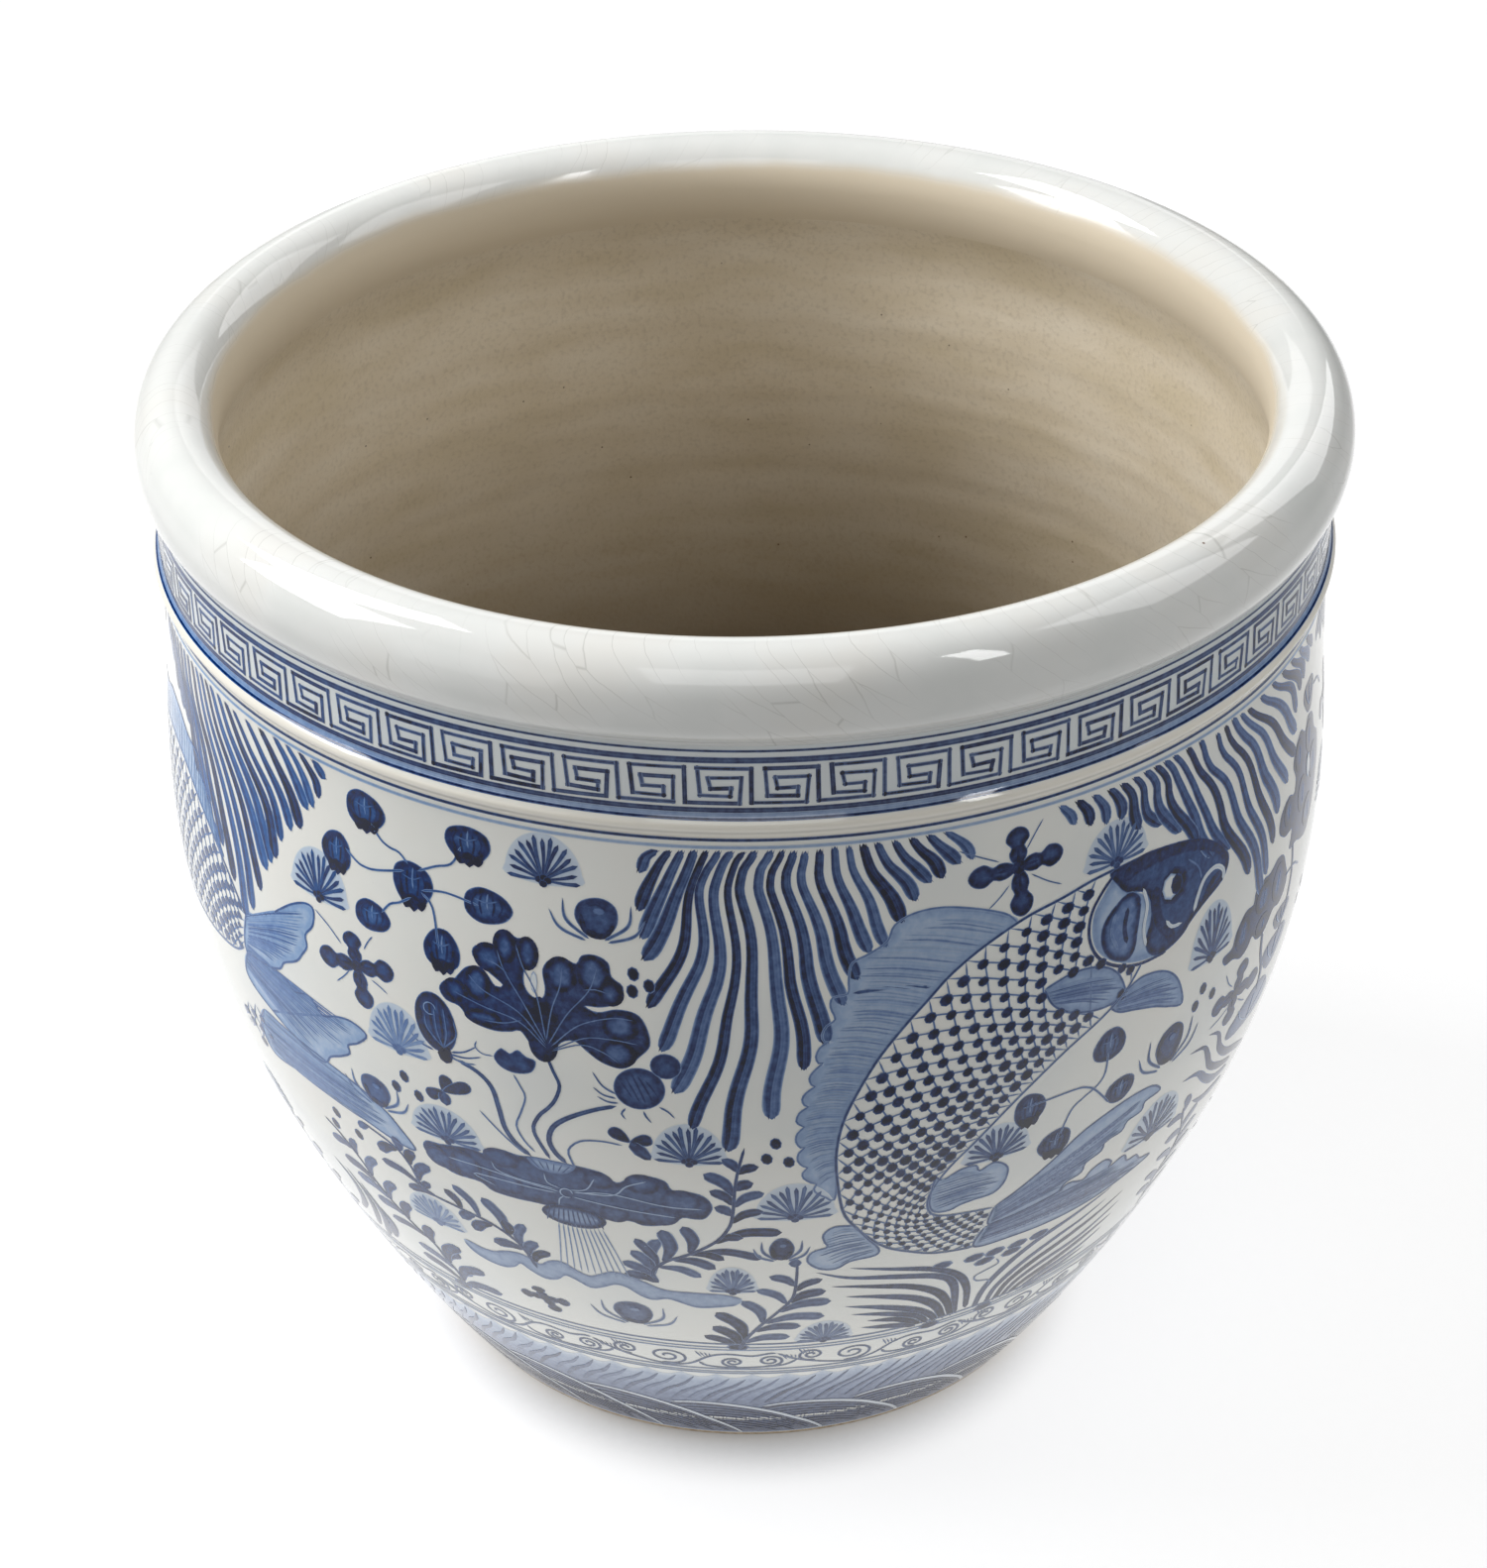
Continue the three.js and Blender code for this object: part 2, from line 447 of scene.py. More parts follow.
def thick_glaze_on_rim():
    """Thick clear glaze pooled on the rolled rim: cooler, with hairline crazing and pinholes."""
    material, tree = new_material("thick_glaze_on_rim")
    place = node(tree, "ShaderNodeTexCoord").outputs["Object"]
    clouds = node(tree, "ShaderNodeTexNoise", {"Scale": 1 / (45 * MM), "Detail": 4.0}, {"Vector": place})
    ground = tuple(settings().rim_glaze)
    colour = node(
        tree, "ShaderNodeValToRGB",
        {"stops": ((0.3, linear("#e0e2df")), (0.5, ground), (0.72, linear("#e6e5e0")))},
        {"Fac": clouds.outputs["Fac"]},
    ).outputs["Color"]
    # Crazing: hairlines 5 to 12 mm apart, longer across the roll than along it and leaning to one
    # side. The real ones are about 0.1 mm wide and are drawn 0.3 mm wide, so that they show.
    parts = node(tree, "ShaderNodeSeparateXYZ", {}, {0: place}).outputs
    turn = node(tree, "ShaderNodeMath", {"operation": "ARCTAN2"}, {0: parts["Y"], 1: parts["X"]}).outputs[0]
    leaning = node(
        tree, "ShaderNodeMath", {"operation": "MULTIPLY_ADD", 1: 0.22}, {0: turn, 2: parts["Z"]}
    ).outputs[0]
    drawn_out = node(tree, "ShaderNodeMath", {"operation": "MULTIPLY", 1: 0.35}, {0: parts["Z"]}).outputs[0]
    wander = node(
        tree, "ShaderNodeTexNoise", {"Scale": 1 / (9 * MM), "Detail": 2.0}, {"Vector": place}
    ).outputs["Fac"]
    bent = node(
        tree, "ShaderNodeMath", {"operation": "MULTIPLY_ADD", 1: 2.5 * MM}, {0: wander, 2: leaning}
    ).outputs[0]
    sheet = node(tree, "ShaderNodeCombineXYZ", {}, {0: bent, 1: drawn_out}).outputs[0]
    cells = node(
        tree, "ShaderNodeTexVoronoi",
        {"voronoi_dimensions": "2D", "feature": "DISTANCE_TO_EDGE", "Scale": 1 / (9 * MM)}, {"Vector": sheet},
    ).outputs["Distance"]
    hairline = node(
        tree, "ShaderNodeMapRange", {"From Min": 0.024, "From Max": 0.0, "To Max": 0.34}, {"Value": cells}
    ).outputs[0]
    shown = node(
        tree, "ShaderNodeMapRange", {"From Min": 0.4, "From Max": 0.6}, {"Value": clouds.outputs["Fac"]}
    ).outputs[0]
    crazed = node(tree, "ShaderNodeMath", {"operation": "MULTIPLY"}, {0: hairline, 1: shown}).outputs[0]
    # Fine rings from the turning tool under the roll, where the glaze lies thin
    drawn = node(tree, "ShaderNodeMapping", {"Scale": (6.0, 6.0, 700.0)}, {"Vector": place}).outputs[0]
    rings = node(tree, "ShaderNodeTexNoise", {"Scale": 1.0, "Detail": 1.0}, {"Vector": drawn}).outputs["Fac"]
    grooved = node(
        tree, "ShaderNodeMapRange", {"From Min": 0.56, "From Max": 0.68, "To Max": 0.4}, {"Value": rings}
    ).outputs[0]
    under = node(
        tree, "ShaderNodeMapRange", {"From Min": 399 * MM, "From Max": 395 * MM}, {"Value": parts["Z"]}
    ).outputs[0]
    ringed = node(tree, "ShaderNodeMath", {"operation": "MULTIPLY"}, {0: grooved, 1: under}).outputs[0]
    pinholes = specks(tree, place, 26 * MM, 0.7 * MM, 0.16)
    for tint, share in (("#8f8f86", crazed), ("#8f887a", ringed), ("#6b4a2e", pinholes)):
        mixed = {"data_type": "RGBA", 7: linear(tint)}
        colour = node(tree, "ShaderNodeMix", mixed, {0: share, 6: colour}).outputs[2]
    # The white glaze stops just inside the mouth and fades into the thin buff glaze of the inside
    flat_place = node(
        tree, "ShaderNodeVectorMath", {"operation": "MULTIPLY", 1: (1, 1, 0)}, {0: place}
    ).outputs[0]
    radius = node(tree, "ShaderNodeVectorMath", {"operation": "LENGTH"}, {0: flat_place}).outputs["Value"]
    within = node(
        tree, "ShaderNodeMapRange", {"From Min": 212 * MM, "From Max": 206 * MM}, {"Value": radius}
    ).outputs[0]
    uneven = node(
        tree, "ShaderNodeMath", {"operation": "MULTIPLY_ADD", 1: 5 * MM},
        {0: clouds.outputs["Fac"], 2: parts["Z"]},
    ).outputs[0]
    below = node(
        tree, "ShaderNodeMapRange",
        {"interpolation_type": "SMOOTHSTEP", "From Min": 421 * MM, "From Max": 415 * MM},
        {"Value": uneven},
    ).outputs[0]
    buff_share = node(tree, "ShaderNodeMath", {"operation": "MULTIPLY"}, {0: within, 1: below}).outputs[0]
    colour = node(
        tree, "ShaderNodeMix", {"data_type": "RGBA", 7: tuple(settings().buff)}, {0: buff_share, 6: colour}
    ).outputs[2]
    roughness = node(
        tree, "ShaderNodeMapRange", {"To Min": 0.04, "To Max": 0.4}, {"Value": buff_share}
    ).outputs[0]
    finish_surface(tree, colour, glaze_relief(tree), roughness)
    return material


def thin_buff_glaze():
    """Thin glaze over buff-firing body inside: eggshell sheen, stained rings and brown iron specks."""
    material, tree = new_material("thin_buff_glaze")
    place = node(tree, "ShaderNodeTexCoord").outputs["Object"]
    drawn = node(tree, "ShaderNodeMapping", {"Scale": (1.0, 1.0, 4.0)}, {"Vector": place}).outputs[0]
    clouds = node(tree, "ShaderNodeTexNoise", {"Scale": 1 / (70 * MM), "Detail": 5.0}, {"Vector": drawn})
    base = tuple(settings().buff)
    colour = node(
        tree, "ShaderNodeValToRGB",
        {"stops": ((0.3, linear("#d3c6ac")), (0.5, base), (0.7, linear("#e3d9c6")))},
        {"Fac": clouds.outputs["Fac"]},
    ).outputs["Color"]
    # Painted shade: the inside is darkened downwards, where less light reaches it, and less so near the floor
    level = node(tree, "ShaderNodeSeparateXYZ", {}, {0: place}).outputs["Z"]
    thin = node(
        tree, "ShaderNodeMapRange", {"From Min": 315 * MM, "From Max": 165 * MM, "To Max": 0.9},
        {"Value": level},
    ).outputs[0]
    pooled = node(
        tree, "ShaderNodeMapRange",
        {"interpolation_type": "SMOOTHSTEP", "From Min": 30 * MM, "From Max": 165 * MM, "To Min": 0.35},
        {"Value": level},
    ).outputs[0]
    thin = node(tree, "ShaderNodeMath", {"operation": "MULTIPLY"}, {0: thin, 1: pooled}).outputs[0]
    iron = specks(tree, place, 14 * MM, 0.6 * MM, 0.5)
    grit = node(tree, "ShaderNodeTexNoise", {"Scale": 1 / (2 * MM), "Detail": 3.0}, {"Vector": place})
    sandy = node(
        tree, "ShaderNodeMapRange", {"From Min": 0.5, "From Max": 0.72, "To Max": 0.16},
        {"Value": grit.outputs["Fac"]},
    ).outputs[0]
    # The first tint is the painted shade; the iron specks and the sandy grit are the body's own colour
    for tint, share in (("#56462e", thin), ("#4e3a28", iron), ("#6e5c44", sandy)):
        mixed = {"data_type": "RGBA", 7: linear(tint)}
        colour = node(tree, "ShaderNodeMix", mixed, {0: share, 6: colour}).outputs[2]
    bump = node(tree, "ShaderNodeBump", {"Distance": 0.12 * MM}, {"Height": grit.outputs["Fac"]})
    finish_surface(tree, colour, bump.outputs["Normal"], 0.45)
    return material


def bare_turned_porcelain():
    """Unglazed body on the foot, turned with a metal tool: warm, matt, with fine grit."""
    material, tree = new_material("bare_turned_porcelain")
    place = node(tree, "ShaderNodeTexCoord").outputs["Object"]
    grain = node(tree, "ShaderNodeTexNoise", {"Scale": 1 / (3 * MM), "Detail": 4.0}, {"Vector": place})
    base = tuple(settings().bare_body)
    colour = node(
        tree, "ShaderNodeValToRGB",
        {"stops": ((0.3, linear("#9c8466")), (0.5, base), (0.75, linear("#cabba4")))},
        {"Fac": grain.outputs["Fac"]},
    ).outputs["Color"]
    bump = node(tree, "ShaderNodeBump", {"Distance": 0.1 * MM}, {"Height": grain.outputs["Fac"]})
    finish_surface(tree, colour, bump.outputs["Normal"], 0.8)
    return material


# Cobalt by load, from the bare glaze to a stroke that was laid on twice
COBALT_STOPS = (
    (0.0, "#e6e7e2"),
    (0.12, "#c5d0dc"),
    (0.3, "#93a9c8"),
    (0.5, "#5f78a5"),
    (0.7, "#36507f"),
    (0.86, "#1d2d5c"),
    (1.0, "#0e142b"),
)


def underglaze_cobalt():
    """Ground cobalt brushed on the raw body under a clear glaze: it pools dark and bleeds at its edges."""
    material, tree = new_material("underglaze_cobalt")
    place = node(tree, "ShaderNodeTexCoord").outputs["Object"]
    load = node(tree, "ShaderNodeAttribute", {"attribute_name": "cobalt"}).outputs["Fac"]
    heaps = node(
        tree, "ShaderNodeTexNoise", {"Scale": 1 / (3 * MM), "Detail": 3.0, "Roughness": 0.6},
        {"Vector": place},
    )
    swing = node(
        tree, "ShaderNodeMapRange", {"From Min": 0.25, "From Max": 0.75, "To Min": 0.84, "To Max": 1.16},
        {"Value": heaps.outputs["Fac"]},
    )
    laid = node(tree, "ShaderNodeMath", {"operation": "MULTIPLY"}, {0: load, 1: swing.outputs[0]})
    stops = tuple((held, linear(colour)) for held, colour in COBALT_STOPS)
    colour = node(tree, "ShaderNodeValToRGB", {"stops": stops}, {"Fac": laid.outputs[0]}).outputs["Color"]
    # Low on the wall the blue is greyed as painted shade and painted reflection of the white floor; on the
    # neck it is made a little greyer too
    level = node(tree, "ShaderNodeSeparateXYZ", {}, {0: place}).outputs["Z"]
    low = node(
        tree, "ShaderNodeMapRange", {"From Min": 60 * MM, "From Max": 220 * MM, "To Min": 0.68},
        {"Value": level},
    ).outputs[0]
    neck = node(
        tree, "ShaderNodeMapRange",
        {"From Min": 352 * MM, "From Max": 360 * MM, "To Min": 1.0, "To Max": 0.85}, {"Value": level},
    ).outputs[0]
    strength = node(tree, "ShaderNodeMath", {"operation": "MINIMUM"}, {0: low, 1: neck}).outputs[0]
    # Painted light: towards the sides, most at the left, the blue is made more saturated, standing in for the
    # brighter light that falls on those sides
    across = node(tree, "ShaderNodeSeparateXYZ", {}, {0: place}).outputs["X"]
    for start, end, most in ((-60, -200, 1.45), (120, 210, 1.25)):
        painted_side_light = node(
            tree, "ShaderNodeMapRange",
            {"From Min": start * MM, "From Max": end * MM, "To Min": 1.0, "To Max": most}, {"Value": across},
        ).outputs[0]
        strength = node(tree, "ShaderNodeMath", {"operation": "MULTIPLY"}, {0: strength, 1: painted_side_light}).outputs[0]
    colour = node(
        tree, "ShaderNodeHueSaturation", {}, {"Color": colour, "Saturation": strength}
    ).outputs["Color"]
    finish_surface(tree, colour, glaze_relief(tree), WET_GLAZE)
    return material


def cobalt():
    return bpy.data.materials.get("underglaze_cobalt") or underglaze_cobalt()


def place_piece(piece, replaced=None):
    """Fixes a piece to the one body of the part. A ring also takes the place of its solid."""
    if replaced:
        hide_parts(replaced)
    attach(piece, "root")


# Brushwork

# Lengths along the painted wall from the foot up, at many levels
LENGTH_LEVELS = np.linspace(0, RIM_SEAT, 1600)
LENGTHS = np.concatenate((
    [0], np.cumsum(np.hypot(np.diff(LENGTH_LEVELS), np.diff(painted_radius(LENGTH_LEVELS))))
))

# The painting on one half of the bowl comes again on the other
HALF_TURNS = (0, 180)


def flat(points, middle):
    """Painted places as millimetres on a sheet peeled off the wall at the middle bearing."""
    degrees, level = np.asarray(points, float).T
    across = (degrees - middle) * np.radians(painted_radius(level))
    return np.column_stack((across, np.interp(level, LENGTH_LEVELS, LENGTHS)))


def unflat(sheet, middle):
    level = np.interp(sheet[:, 1], LENGTHS, LENGTH_LEVELS)
    return np.column_stack((middle + np.degrees(sheet[:, 0] / painted_radius(level)), level))


def smooth(points, step, closed=False):
    """A flowing line through a few chosen points, with a point about every step."""
    p = np.asarray(points, float)
    if closed:
        p = np.vstack((p[-1:], p, p[:2]))
    else:
        p = np.vstack((2 * p[0] - p[1], p, 2 * p[-1] - p[-2]))
    parts = []
    for a, b, c, d in zip(p, p[1:], p[2:], p[3:]):
        count = max(1, math.ceil(np.hypot(*(c - b)) / step))
        t = np.arange(count)[:, None] / count
        parts.append(
            (2 * b + (c - a) * t + (2 * a - 5 * b + 4 * c - d) * t**2 + (3 * b - a - 3 * c + d) * t**3) / 2
        )
    if not closed:
        parts.append(p[-2:-1])
    return np.vstack(parts)


# Share of the load that is left at the outline of a stroke or shape, where it bleeds away
EDGE_HELD = 0.4
# How the cobalt lies across a stroke: place from the middle and share of the load
WIDE_STROKE = ((-1, EDGE_HELD), (-0.74, 1.0), (0, 0.84), (0.74, 1.02), (1, EDGE_HELD))
FINE_STROKE = ((-1, 0.45), (0, 1.0), (1, 0.45))
WIDE_FROM = 1.6
# Touches that overlap in one coat lie this much apart, in millimetres, in so many layers
TOUCH_GAP = 0.002
TOUCH_LAYERS = 12
# Width of the soft edge of a filled shape
SOFT_EDGE = 0.55
# Points of a shape's inside that are nearer its outline than this are left out
CLEAR_OF_EDGE = 0.4
# The pooled rim of a shape fades over this many times its width
POOL_FADE = 2.2
# Height of one row of triangles, as a share of the distance between its points
ROW_SHARE = 0.87
DOT_CORNERS = 8
DOT_SHOULDER = 0.72


class Paint:
    """One coat of brushwork. Coats lie at different lifts over the wall, so none cuts another."""

    def __init__(self, name, lift, turns=HALF_TURNS):
        self.name = name
        self.lift = lift
        self.turns = turns
        self.places = []
        self.loads = []
        self.lifts = []
        self.faces = []
        self.count = 0

    def patch(self, places, loads, faces):
        lift = self.lift + TOUCH_GAP * (len(self.places) // len(self.turns) % TOUCH_LAYERS)
        for turn in self.turns:
            self.places.append(places + (turn, 0))
            self.loads.append(loads)
            self.lifts.append(np.full(len(places), lift))
            self.faces += [tuple(corner + self.count for corner in face) for face in faces]
            self.count += len(places)

    def finish(self):
        places = np.vstack(self.places)
        level = places[:, 1]
        turn = np.radians(places[:, 0])
        nudge = 0.05
        rise = (painted_radius(level + nudge) - painted_radius(level - nudge)) / (2 * nudge)
        out = 1 / np.hypot(1, rise)
        up = -rise * out
        lift = np.concatenate(self.lifts)
        radius = painted_radius(level) + lift * out
        vertices = np.column_stack((radius * np.sin(turn), -radius * np.cos(turn), level + lift * up))
        normal = np.column_stack((out * np.sin(turn), -out * np.cos(turn), up))
        corners = np.concatenate([np.asarray(face) for face in self.faces])
        across = (places[corners, 0] / 360) % 1.0
        counts = [len(face) for face in self.faces]
        starts = np.repeat(np.cumsum([0] + counts[:-1]), counts)
        across = np.where(across - across[starts] > 0.5, across - 1, across)
        across = np.where(across - across[starts] < -0.5, across + 1, across)
        uvs = np.column_stack((across, level[corners] / RIM_SEAT))
        made = new_object(self.name, vertices, self.faces, normal[corners], uvs)
        load = made.data.attributes.new("cobalt", "FLOAT", "POINT")
        load.data.foreach_set("value", np.concatenate(self.loads).astype(np.float32))
        made.data.materials.append(cobalt())
        place_piece(made)


def sheet_faces(rows, count):
    """Faces between rows of points, each row of the given count."""
    return [
        (k * count + i, k * count + i + 1, (k + 1) * count + i + 1, (k + 1) * count + i)
        for k in range(rows - 1)
        for i in range(count - 1)
    ]


def stroke(paint, points, width, load, over=0.0, tips=None, step=2.5, drag=(1.0, 1.0)):
    """One brush stroke along chosen points.

    width is one size or several along the stroke, tips the lengths over which its ends
    narrow, over the load of the wash below it, and drag the share of load at its ends.
    """
    middle = float(np.mean(np.asarray(points)[:, 0]))
    line = smooth(flat(points, middle), step)
    along = np.gradient(line, axis=0)
    along /= np.maximum(np.linalg.norm(along, axis=1), 1e-9)[:, None]
    side = np.column_stack((-along[:, 1], along[:, 0]))
    gone = np.concatenate(([0], np.cumsum(np.linalg.norm(np.diff(line, axis=0), axis=1))))
    share = gone / gone[-1]
    widths = np.atleast_1d(width)
    half = np.interp(share, np.linspace(0, 1, len(widths)), widths) / 2
    tips = tips or (half[0], half[-1])
    for distance, tip in ((gone, tips[0]), (gone[-1] - gone, tips[1])):
        if tip > 0:
            near = np.clip(distance / tip, 0, 1)
            half = half * np.sqrt(near * (2 - near))
    across = WIDE_STROKE if max(widths) >= WIDE_FROM else FINE_STROKE
    body = load * np.interp(share, (0, 1), drag)
    sheet = np.vstack([line + side * (half * place)[:, None] for place, _ in across])
    loads = np.concatenate([over + (body - over) * held for _, held in across])
    paint.patch(unflat(sheet, middle), loads, sheet_faces(len(across), len(line)))


def strokes(paint, lines, width, load, **how):
    """The same kind of stroke along each of several lines."""
    for points in lines:
        stroke(paint, points, width, load, **how)


def band(paint, level, height, load, wobble):
    """A painted line round the whole bowl, held to the turning wheel."""
    turn = np.arange(361.0)
    drift = wobble * (np.sin(np.radians(turn * 3)) + 0.6 * np.sin(np.radians(turn * 7 + 40)))
    across = WIDE_STROKE if height >= WIDE_FROM else FINE_STROKE
    sheet = np.vstack([
        np.column_stack((turn - 180, level + drift + place * height / 2)) for place, _ in across
    ])
    loads = np.concatenate([np.full(len(turn), load * held) for _, held in across])
    paint.patch(sheet, loads, sheet_faces(len(across), len(turn)))


def beside(centre, offsets):
    """Places at offsets in millimetres, to the right and up the wall, from a painted place."""
    middle = centre[0]
    return unflat(flat([centre], middle)[0] + np.asarray(offsets, float), middle)


def oval(centre, half_width, half_height, tilt=0.0, count=10, wobble=0.0):
    """Points round an oval, its sizes in millimetres and its tilt in degrees to the left."""
    turn = np.arange(count) * 2 * np.pi / count
    uneven = 1 + wobble * np.sin(3 * turn + centre[0])
    x = half_width * np.cos(turn) * uneven
    y = half_height * np.sin(turn) * uneven
    c, s = math.cos(math.radians(tilt)), math.sin(math.radians(tilt))
    return beside(centre, np.column_stack((c * x - s * y, s * x + c * y)))


def is_inside(outline, points):
    x, y = points.T
    hit = np.zeros(len(points), bool)
    for (x0, y0), (x1, y1) in zip(outline, np.roll(outline, -1, axis=0)):
        if y0 != y1:
            hit ^= ((y0 > y) != (y1 > y)) & (x < x0 + (y - y0) * (x1 - x0) / (y1 - y0))
    return hit


def depth_in(outline, points):
    """Distance from each point to the outline."""
    leg = np.roll(outline, -1, axis=0) - outline
    gap = points[:, None] - outline
    share = np.clip((gap * leg).sum(2) / np.maximum((leg**2).sum(1), 1e-12), 0, 1)
    return np.linalg.norm(gap - share[..., None] * leg, axis=2).min(1)


def fill(paint, outline, load, edge, edge_width=1.4, over=0.0, pitch=3.0, step=1.8):
    """A filled shape with a soft edge and, inside it, a rim where the cobalt pooled."""
    middle = float(np.mean(np.asarray(outline)[:, 0]))
    line = smooth(flat(outline, middle), step, closed=True)
    area = np.sum(line[:, 0] * np.roll(line[:, 1], -1) - np.roll(line[:, 0], -1) * line[:, 1])
    if area < 0:
        line = line[::-1]
    low = line.min(0)
    top = line.max(0)
    rows = np.arange(low[1] + pitch / 2, top[1], pitch * ROW_SHARE)
    grid = [
        (x + (pitch / 2 if i % 2 else 0), y)
        for i, y in enumerate(rows)
        for x in np.arange(low[0], top[0], pitch)
    ]
    along = np.roll(line, -1, axis=0) - np.roll(line, 1, axis=0)
    length = np.maximum(np.linalg.norm(along, axis=1), 1e-9)[:, None]
    inward = np.column_stack((-along[:, 1], along[:, 0])) / length
    rings = [line + inward * inset for inset in (SOFT_EDGE, edge_width)]
    found = np.vstack(rings + ([np.array(grid)] if grid else []))
    found = found[is_inside(line, found)]
    deep = depth_in(line, found)
    found = found[deep > CLEAR_OF_EDGE]
    points = np.vstack((line, found))
    count = len(line)
    inside_only = 1
    made = delaunay_2d_cdt([Vector(point) for point in points], [], [list(range(count))], inside_only, 1e-4)
    sheet = np.array([tuple(v) for v in made[0]])
    deep = depth_in(line, sheet)
    held = np.interp(deep, (0, SOFT_EDGE), (EDGE_HELD, 1.0))
    body = np.interp(deep, (edge_width, POOL_FADE * edge_width), (edge, load))
    paint.patch(unflat(sheet, middle), over + (body - over) * held, [tuple(face) for face in made[2]])


def dot(paint, centre, width, height, load, tilt=0.0, over=0.0):
    """A touch of the brush tip."""
    corners = DOT_CORNERS
    rim = flat(oval(centre, width / 2, height / 2, tilt, corners), centre[0])
    middle = flat([centre], centre[0])
    shoulder = middle + DOT_SHOULDER * (rim - middle)
    sheet = np.vstack((rim, shoulder, middle))
    loads = over + (load - over) * np.concatenate((np.full(corners, EDGE_HELD), np.ones(corners + 1)))
    faces = []
    for i in range(corners):
        j = (i + 1) % corners
        faces += [(i, j, corners + j, corners + i), (corners + i, corners + j, 2 * corners)]
    paint.patch(unflat(sheet, centre[0]), loads, faces)


class Coats:
    """The coats of one group: a wash, the body of each shape, its lines, its reserves and its darks."""

    def __init__(self, name, turns=HALF_TURNS):
        self.wash = Paint(name + "_wash", 0.04, turns)
        self.body = Paint(name + "_body", 0.08, turns)
        self.line = Paint(name + "_lines", 0.12, turns)
        self.light = Paint(name + "_reserves", 0.16, turns)
        self.dark = Paint(name + "_darks", 0.2, turns)

    def finish(self):
        for coat in (self.wash, self.body, self.line, self.light, self.dark):
            if coat.faces:
                coat.finish()


# Outlines of a butterfly's wing and of a petal: share of the length, share of half the width
WING = (
    (0, 0.12), (0.22, 0.66), (0.4, 0.74), (0.52, 0.56), (0.7, 0.98), (0.92, 0.74), (1.03, 0), (0.92, -0.74),
    (0.7, -0.98), (0.52, -0.56), (0.4, -0.74), (0.22, -0.66), (0, -0.12),
)
PETAL = (
    (0, 0.15), (0.3, 0.7), (0.7, 1), (0.95, 0.7), (1.03, 0), (0.95, -0.7), (0.7, -1), (0.3, -0.7), (0, -0.15),
)


def petal(coats, root, tip, width, load, shape=PETAL):
    """A petal pressed from the root with a full brush."""
    start, end = flat((root, tip), root[0])
    way = end - start
    side = np.array((-way[1], way[0])) / np.linalg.norm(way)
    sheet = [start + way * u + side * width * 0.5 * v for u, v in shape]
    fill(coats.body, unflat(np.array(sheet), root[0]), load, 0.94, 1.3, step=1.4)


# How far the rays of a shell reach round to each side, in degrees
FAN_SPREAD = 96
FAN_RAYS = 15
FAN_WASH = 0.17
# Touches of the dark knot at its foot
FAN_KNOT = ((-1.6, 0.2), (0.2, 1.0), (1.7, 0.1), (0, -1.4))


def shell_fan(coats, base, half_width, height, load=0.86):
    """A fan shell: rays that thicken outwards from a dark knot, over a pale halo."""
    turn = np.radians(np.linspace(-FAN_SPREAD, FAN_SPREAD, FAN_RAYS))
    tips = np.column_stack((half_width * np.sin(turn), height * (0.1 + 0.88 * np.cos(turn))))
    halo = beside(base, np.vstack((tips * 1.05, [(0, -2.0)])))
    fill(coats.wash, halo, FAN_WASH, FAN_WASH * 0.8, pitch=4.0)
    for i, tip in enumerate(tips):
        end = tip * (1.0 - 0.07 * (i % 2))
        bend = np.array((tip[1], -tip[0])) * 0.02 * (1 if i % 3 else -1)
        ray = beside(base, (tip * 0.08, end * 0.55 + bend, end))
        dark = load * (0.88 + 0.12 * (i % 2))
        stroke(
            coats.line, ray, (0.8, 1.3, 1.9), dark, over=FAN_WASH, step=2.0, tips=(0, 0.9), drag=(1.0, 1.06)
        )
    for offset in FAN_KNOT:
        dot(coats.light, beside(base, [offset])[0], 3.2, 3.0, min(1.0, load * 1.18), over=0.4)


# Strokes of a snail as shares of its half sizes: its dark underside, its band across and its feelers,
# which have a width and a share of the load too
SNAIL_UNDERSIDE = ((-0.75, 0.1), (-0.5, -0.7), (0.3, -0.9), (0.8, -0.3))
SNAIL_BAND = ((-0.45, 0.45), (0, 0.62), (0.5, 0.35))
SNAIL_FEELERS = (
    (((1.55, 0.75), (1.4, -0.3), (0.35, -1.12)), 1.5, 0.9),
    (((2.2, 0.1), (1.7, -0.75), (0.5, -1.22)), 1.4, 0.86),
)


def snail(coats, centre, half_width, half_height, load=0.9):
    """A pond snail: a round shell, dark below, with feelers that curve up on both sides."""

    def scaled(shares, side=1):
        return beside(centre, [(side * x * half_width, y * half_height) for x, y in shares])

    fill(coats.body, oval(centre, half_width, half_height, wobble=0.04), load * 0.84, load, 1.8)
    dark = min(1, load * 1.12)
    stroke(coats.line, scaled(SNAIL_UNDERSIDE), (1.5, 3.0, 1.5), dark, over=load * 0.8, step=1.5)
    stroke(coats.line, scaled(SNAIL_BAND), 1.0, load, over=load * 0.8, step=1.5)
    glint = scaled(((0.1, 0.3),))[0]
    dot(coats.light, glint, 0.55 * half_width, 0.35 * half_height, load * 0.62, over=load * 0.84)
    for side in (-1, 1):
        for feeler, width, share in SNAIL_FEELERS:
            stroke(coats.line, scaled(feeler, side), (0.6, width, 1.2), load * share, step=1.5, tips=(5, 1))


# Outline of the frayed foot of a leaf, as shares of the leaf's half sizes
STUMP = (
    (-0.66, -0.3), (-0.3, -0.5), (0, -0.4), (0.35, -0.5), (0.68, -0.24), (0.66, -0.78), (0.44, -1.08),
    (0.26, -1.0), (0.06, -1.2), (-0.15, -1.04), (-0.36, -1.12), (-0.58, -0.8),
)


